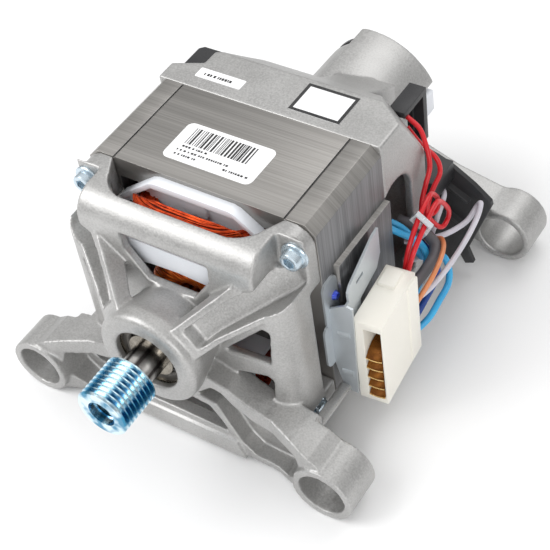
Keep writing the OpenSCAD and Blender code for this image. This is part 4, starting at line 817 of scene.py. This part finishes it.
def makeLeaves(shape):
    turn = Matrix.Rotation(math.radians(shape["turn"]), 4, "Z")
    put = Matrix.Translation(Vector(shape["place"]) * mm) @ turn
    verts, faces, rims = [], [], []
    span, parts = shape["to"] - shape["from"], shape["parts"]
    row = 2 * (parts + 1)
    for leaf in range(shape["count"]):
        z0, first, rim = shape["low"] + shape["pitch"] * (leaf + 0.5), len(verts), []
        tall = shape["topTall"] if leaf == shape["count"] - 1 else 1.0
        for k, (y, rise) in enumerate(shape["profile"]):
            for i in range(parts + 1):
                t = i / parts
                dip = shape["sag"] * (4 * t * (1 - t)) * (1 if k < shape["bentRows"] else shape["flatSag"])
                up = rise if rise < 0 else rise * tall
                x = shape["from"] + span * t
                for offset in (0, shape["thick"]):
                    verts.append(put @ (Vector((x, y, z0 + up - dip - offset)) * mm))
                if k == 0:
                    rim.append(verts[-1])
        rims.append(rim)
        for k in range(len(shape["profile"]) - 1):
            for i in range(parts):
                a = first + k * row + 2 * i
                faces.append((a, a + 2, a + row + 2, a + row))
                faces.append((a + 1, a + row + 1, a + row + 3, a + 3))
            left, right = first + k * row, first + k * row + 2 * parts
            faces.append((left, left + row, left + row + 1, left + 1))
            faces.append((right, right + 1, right + row + 1, right + row))
        back = first + (len(shape["profile"]) - 1) * row
        for i in range(parts):
            a, b = first + 2 * i, back + 2 * i
            faces.append((a, a + 1, a + 3, a + 2))
            faces.append((b, b + 2, b + 3, b + 1))
    leaves = addPiece("plugLeaves", verts, faces, "shadedLeafFace", "stator", smooth=True)
    leaves.data.set_sharp_from_angle(angle=math.radians(shape["sharp"]))
    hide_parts("plug_terminals")
    # painted highlights: bright wires along the leaves' front edges
    wireAlong("plugLeafEdgeHighlights", rims, shape["edge"], shape["edgeSides"], "leafEdgeHighlight", "stator")


makeLeaves(plugLeaves)
print("plug leaves made")

# Printed marks on the sheets: plain bars, dashes and a frame only
inkSetup = {
    "height": 53.17,  # of the ink, over the shaft
    "seed": 3,
    "bars": {"x": (-19.0, 12.4), "y": (89.0, 98.8), "widths": (0.32, 0.32, 0.55, 0.95),
             "gaps": (0.34, 0.5, 0.75), "spare": 1},
    "dashes": {"widths": (0.55, 0.8, 1.1), "gaps": (0.35, 0.35, 1.0), "spare": 0.5},
    "rows": [(-18.8, -7.1, 87.4), (-19.8, 6.4, 84.9), (-19.5, -8.8, 82.4), (4.2, 15.5, 82.4)],
    "batch": (-36.5, -22, 129.2),  # each row by its two ends and y
    "rowWidth": 1.0, "batchWidth": 1.5,
    "border": 1.55,
}


def makeInk(setup):
    verts, faces = [], []

    def patch(x0, x1, y0, y1):
        first = len(verts)
        corners = ((x0, y0), (x1, y0), (x1, y1), (x0, y1))
        verts.extend(Vector((x, y, setup["height"])) * mm for x, y in corners)
        faces.append((first, first + 1, first + 2, first + 3))

    def marks(x, end, y0, y1, kind):
        while x < end - kind["spare"]:
            width = random.choice(kind["widths"])
            patch(x, x + width, y0, y1)
            x += width + random.choice(kind["gaps"])

    random.seed(setup["seed"])
    marks(*setup["bars"]["x"], *setup["bars"]["y"], setup["bars"])
    rows = [(row, setup["rowWidth"]) for row in setup["rows"]]
    rows.append((setup["batch"], setup["batchWidth"]))
    for (x, end, y), width in rows:
        marks(x, end, y - width / 2, y + width / 2, setup["dashes"])
    low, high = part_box("framed_label")
    x0, x1, y0, y1 = low[0] / mm, high[0] / mm, low[1] / mm, high[1] / mm
    t = setup["border"]
    patch(x0, x1, y0, y0 + t)
    patch(x0, x1, y1 - t, y1)
    patch(x0, x0 + t, y0 + t, y1 - t)
    patch(x1 - t, x1, y0 + t, y1 - t)
    addPiece("sheetMarks", verts, faces, "labelInk", "stator")


makeInk(inkSetup)
print("sheet marks made")

# Plain pale floor just under the motor, in metres
floorSetup = {
    "half": 3, "under": 0.00005, "patches": 4, "rough": 0.45,
    "first": (0.93, 0.93, 0.93), "second": (0.90, 0.90, 0.905),
}


def makeFloor(setup):
    half, z = setup["half"], cadBox[0][2] - setup["under"]
    mesh = bpy.data.meshes.new("paleFloor")
    corners = ((-half, -half, z), (half, -half, z), (half, half, z), (-half, half, z))
    mesh.from_pydata(corners, [], [(0, 1, 2, 3)])
    floor = addObject("paleFloor", mesh)
    finish, tree, shader, place = newFinish("floorFinish")
    share = addRange(tree, addNoise(tree, place, setup["patches"]), 0, 1)
    tree.links.new(addMix(tree, share, setup["first"], setup["second"]), shader.inputs["Base Color"])
    shader.inputs["Roughness"].default_value = setup["rough"]
    mesh.materials.append(finish)


makeFloor(floorSetup)
print("floor made")

print("scene ready")
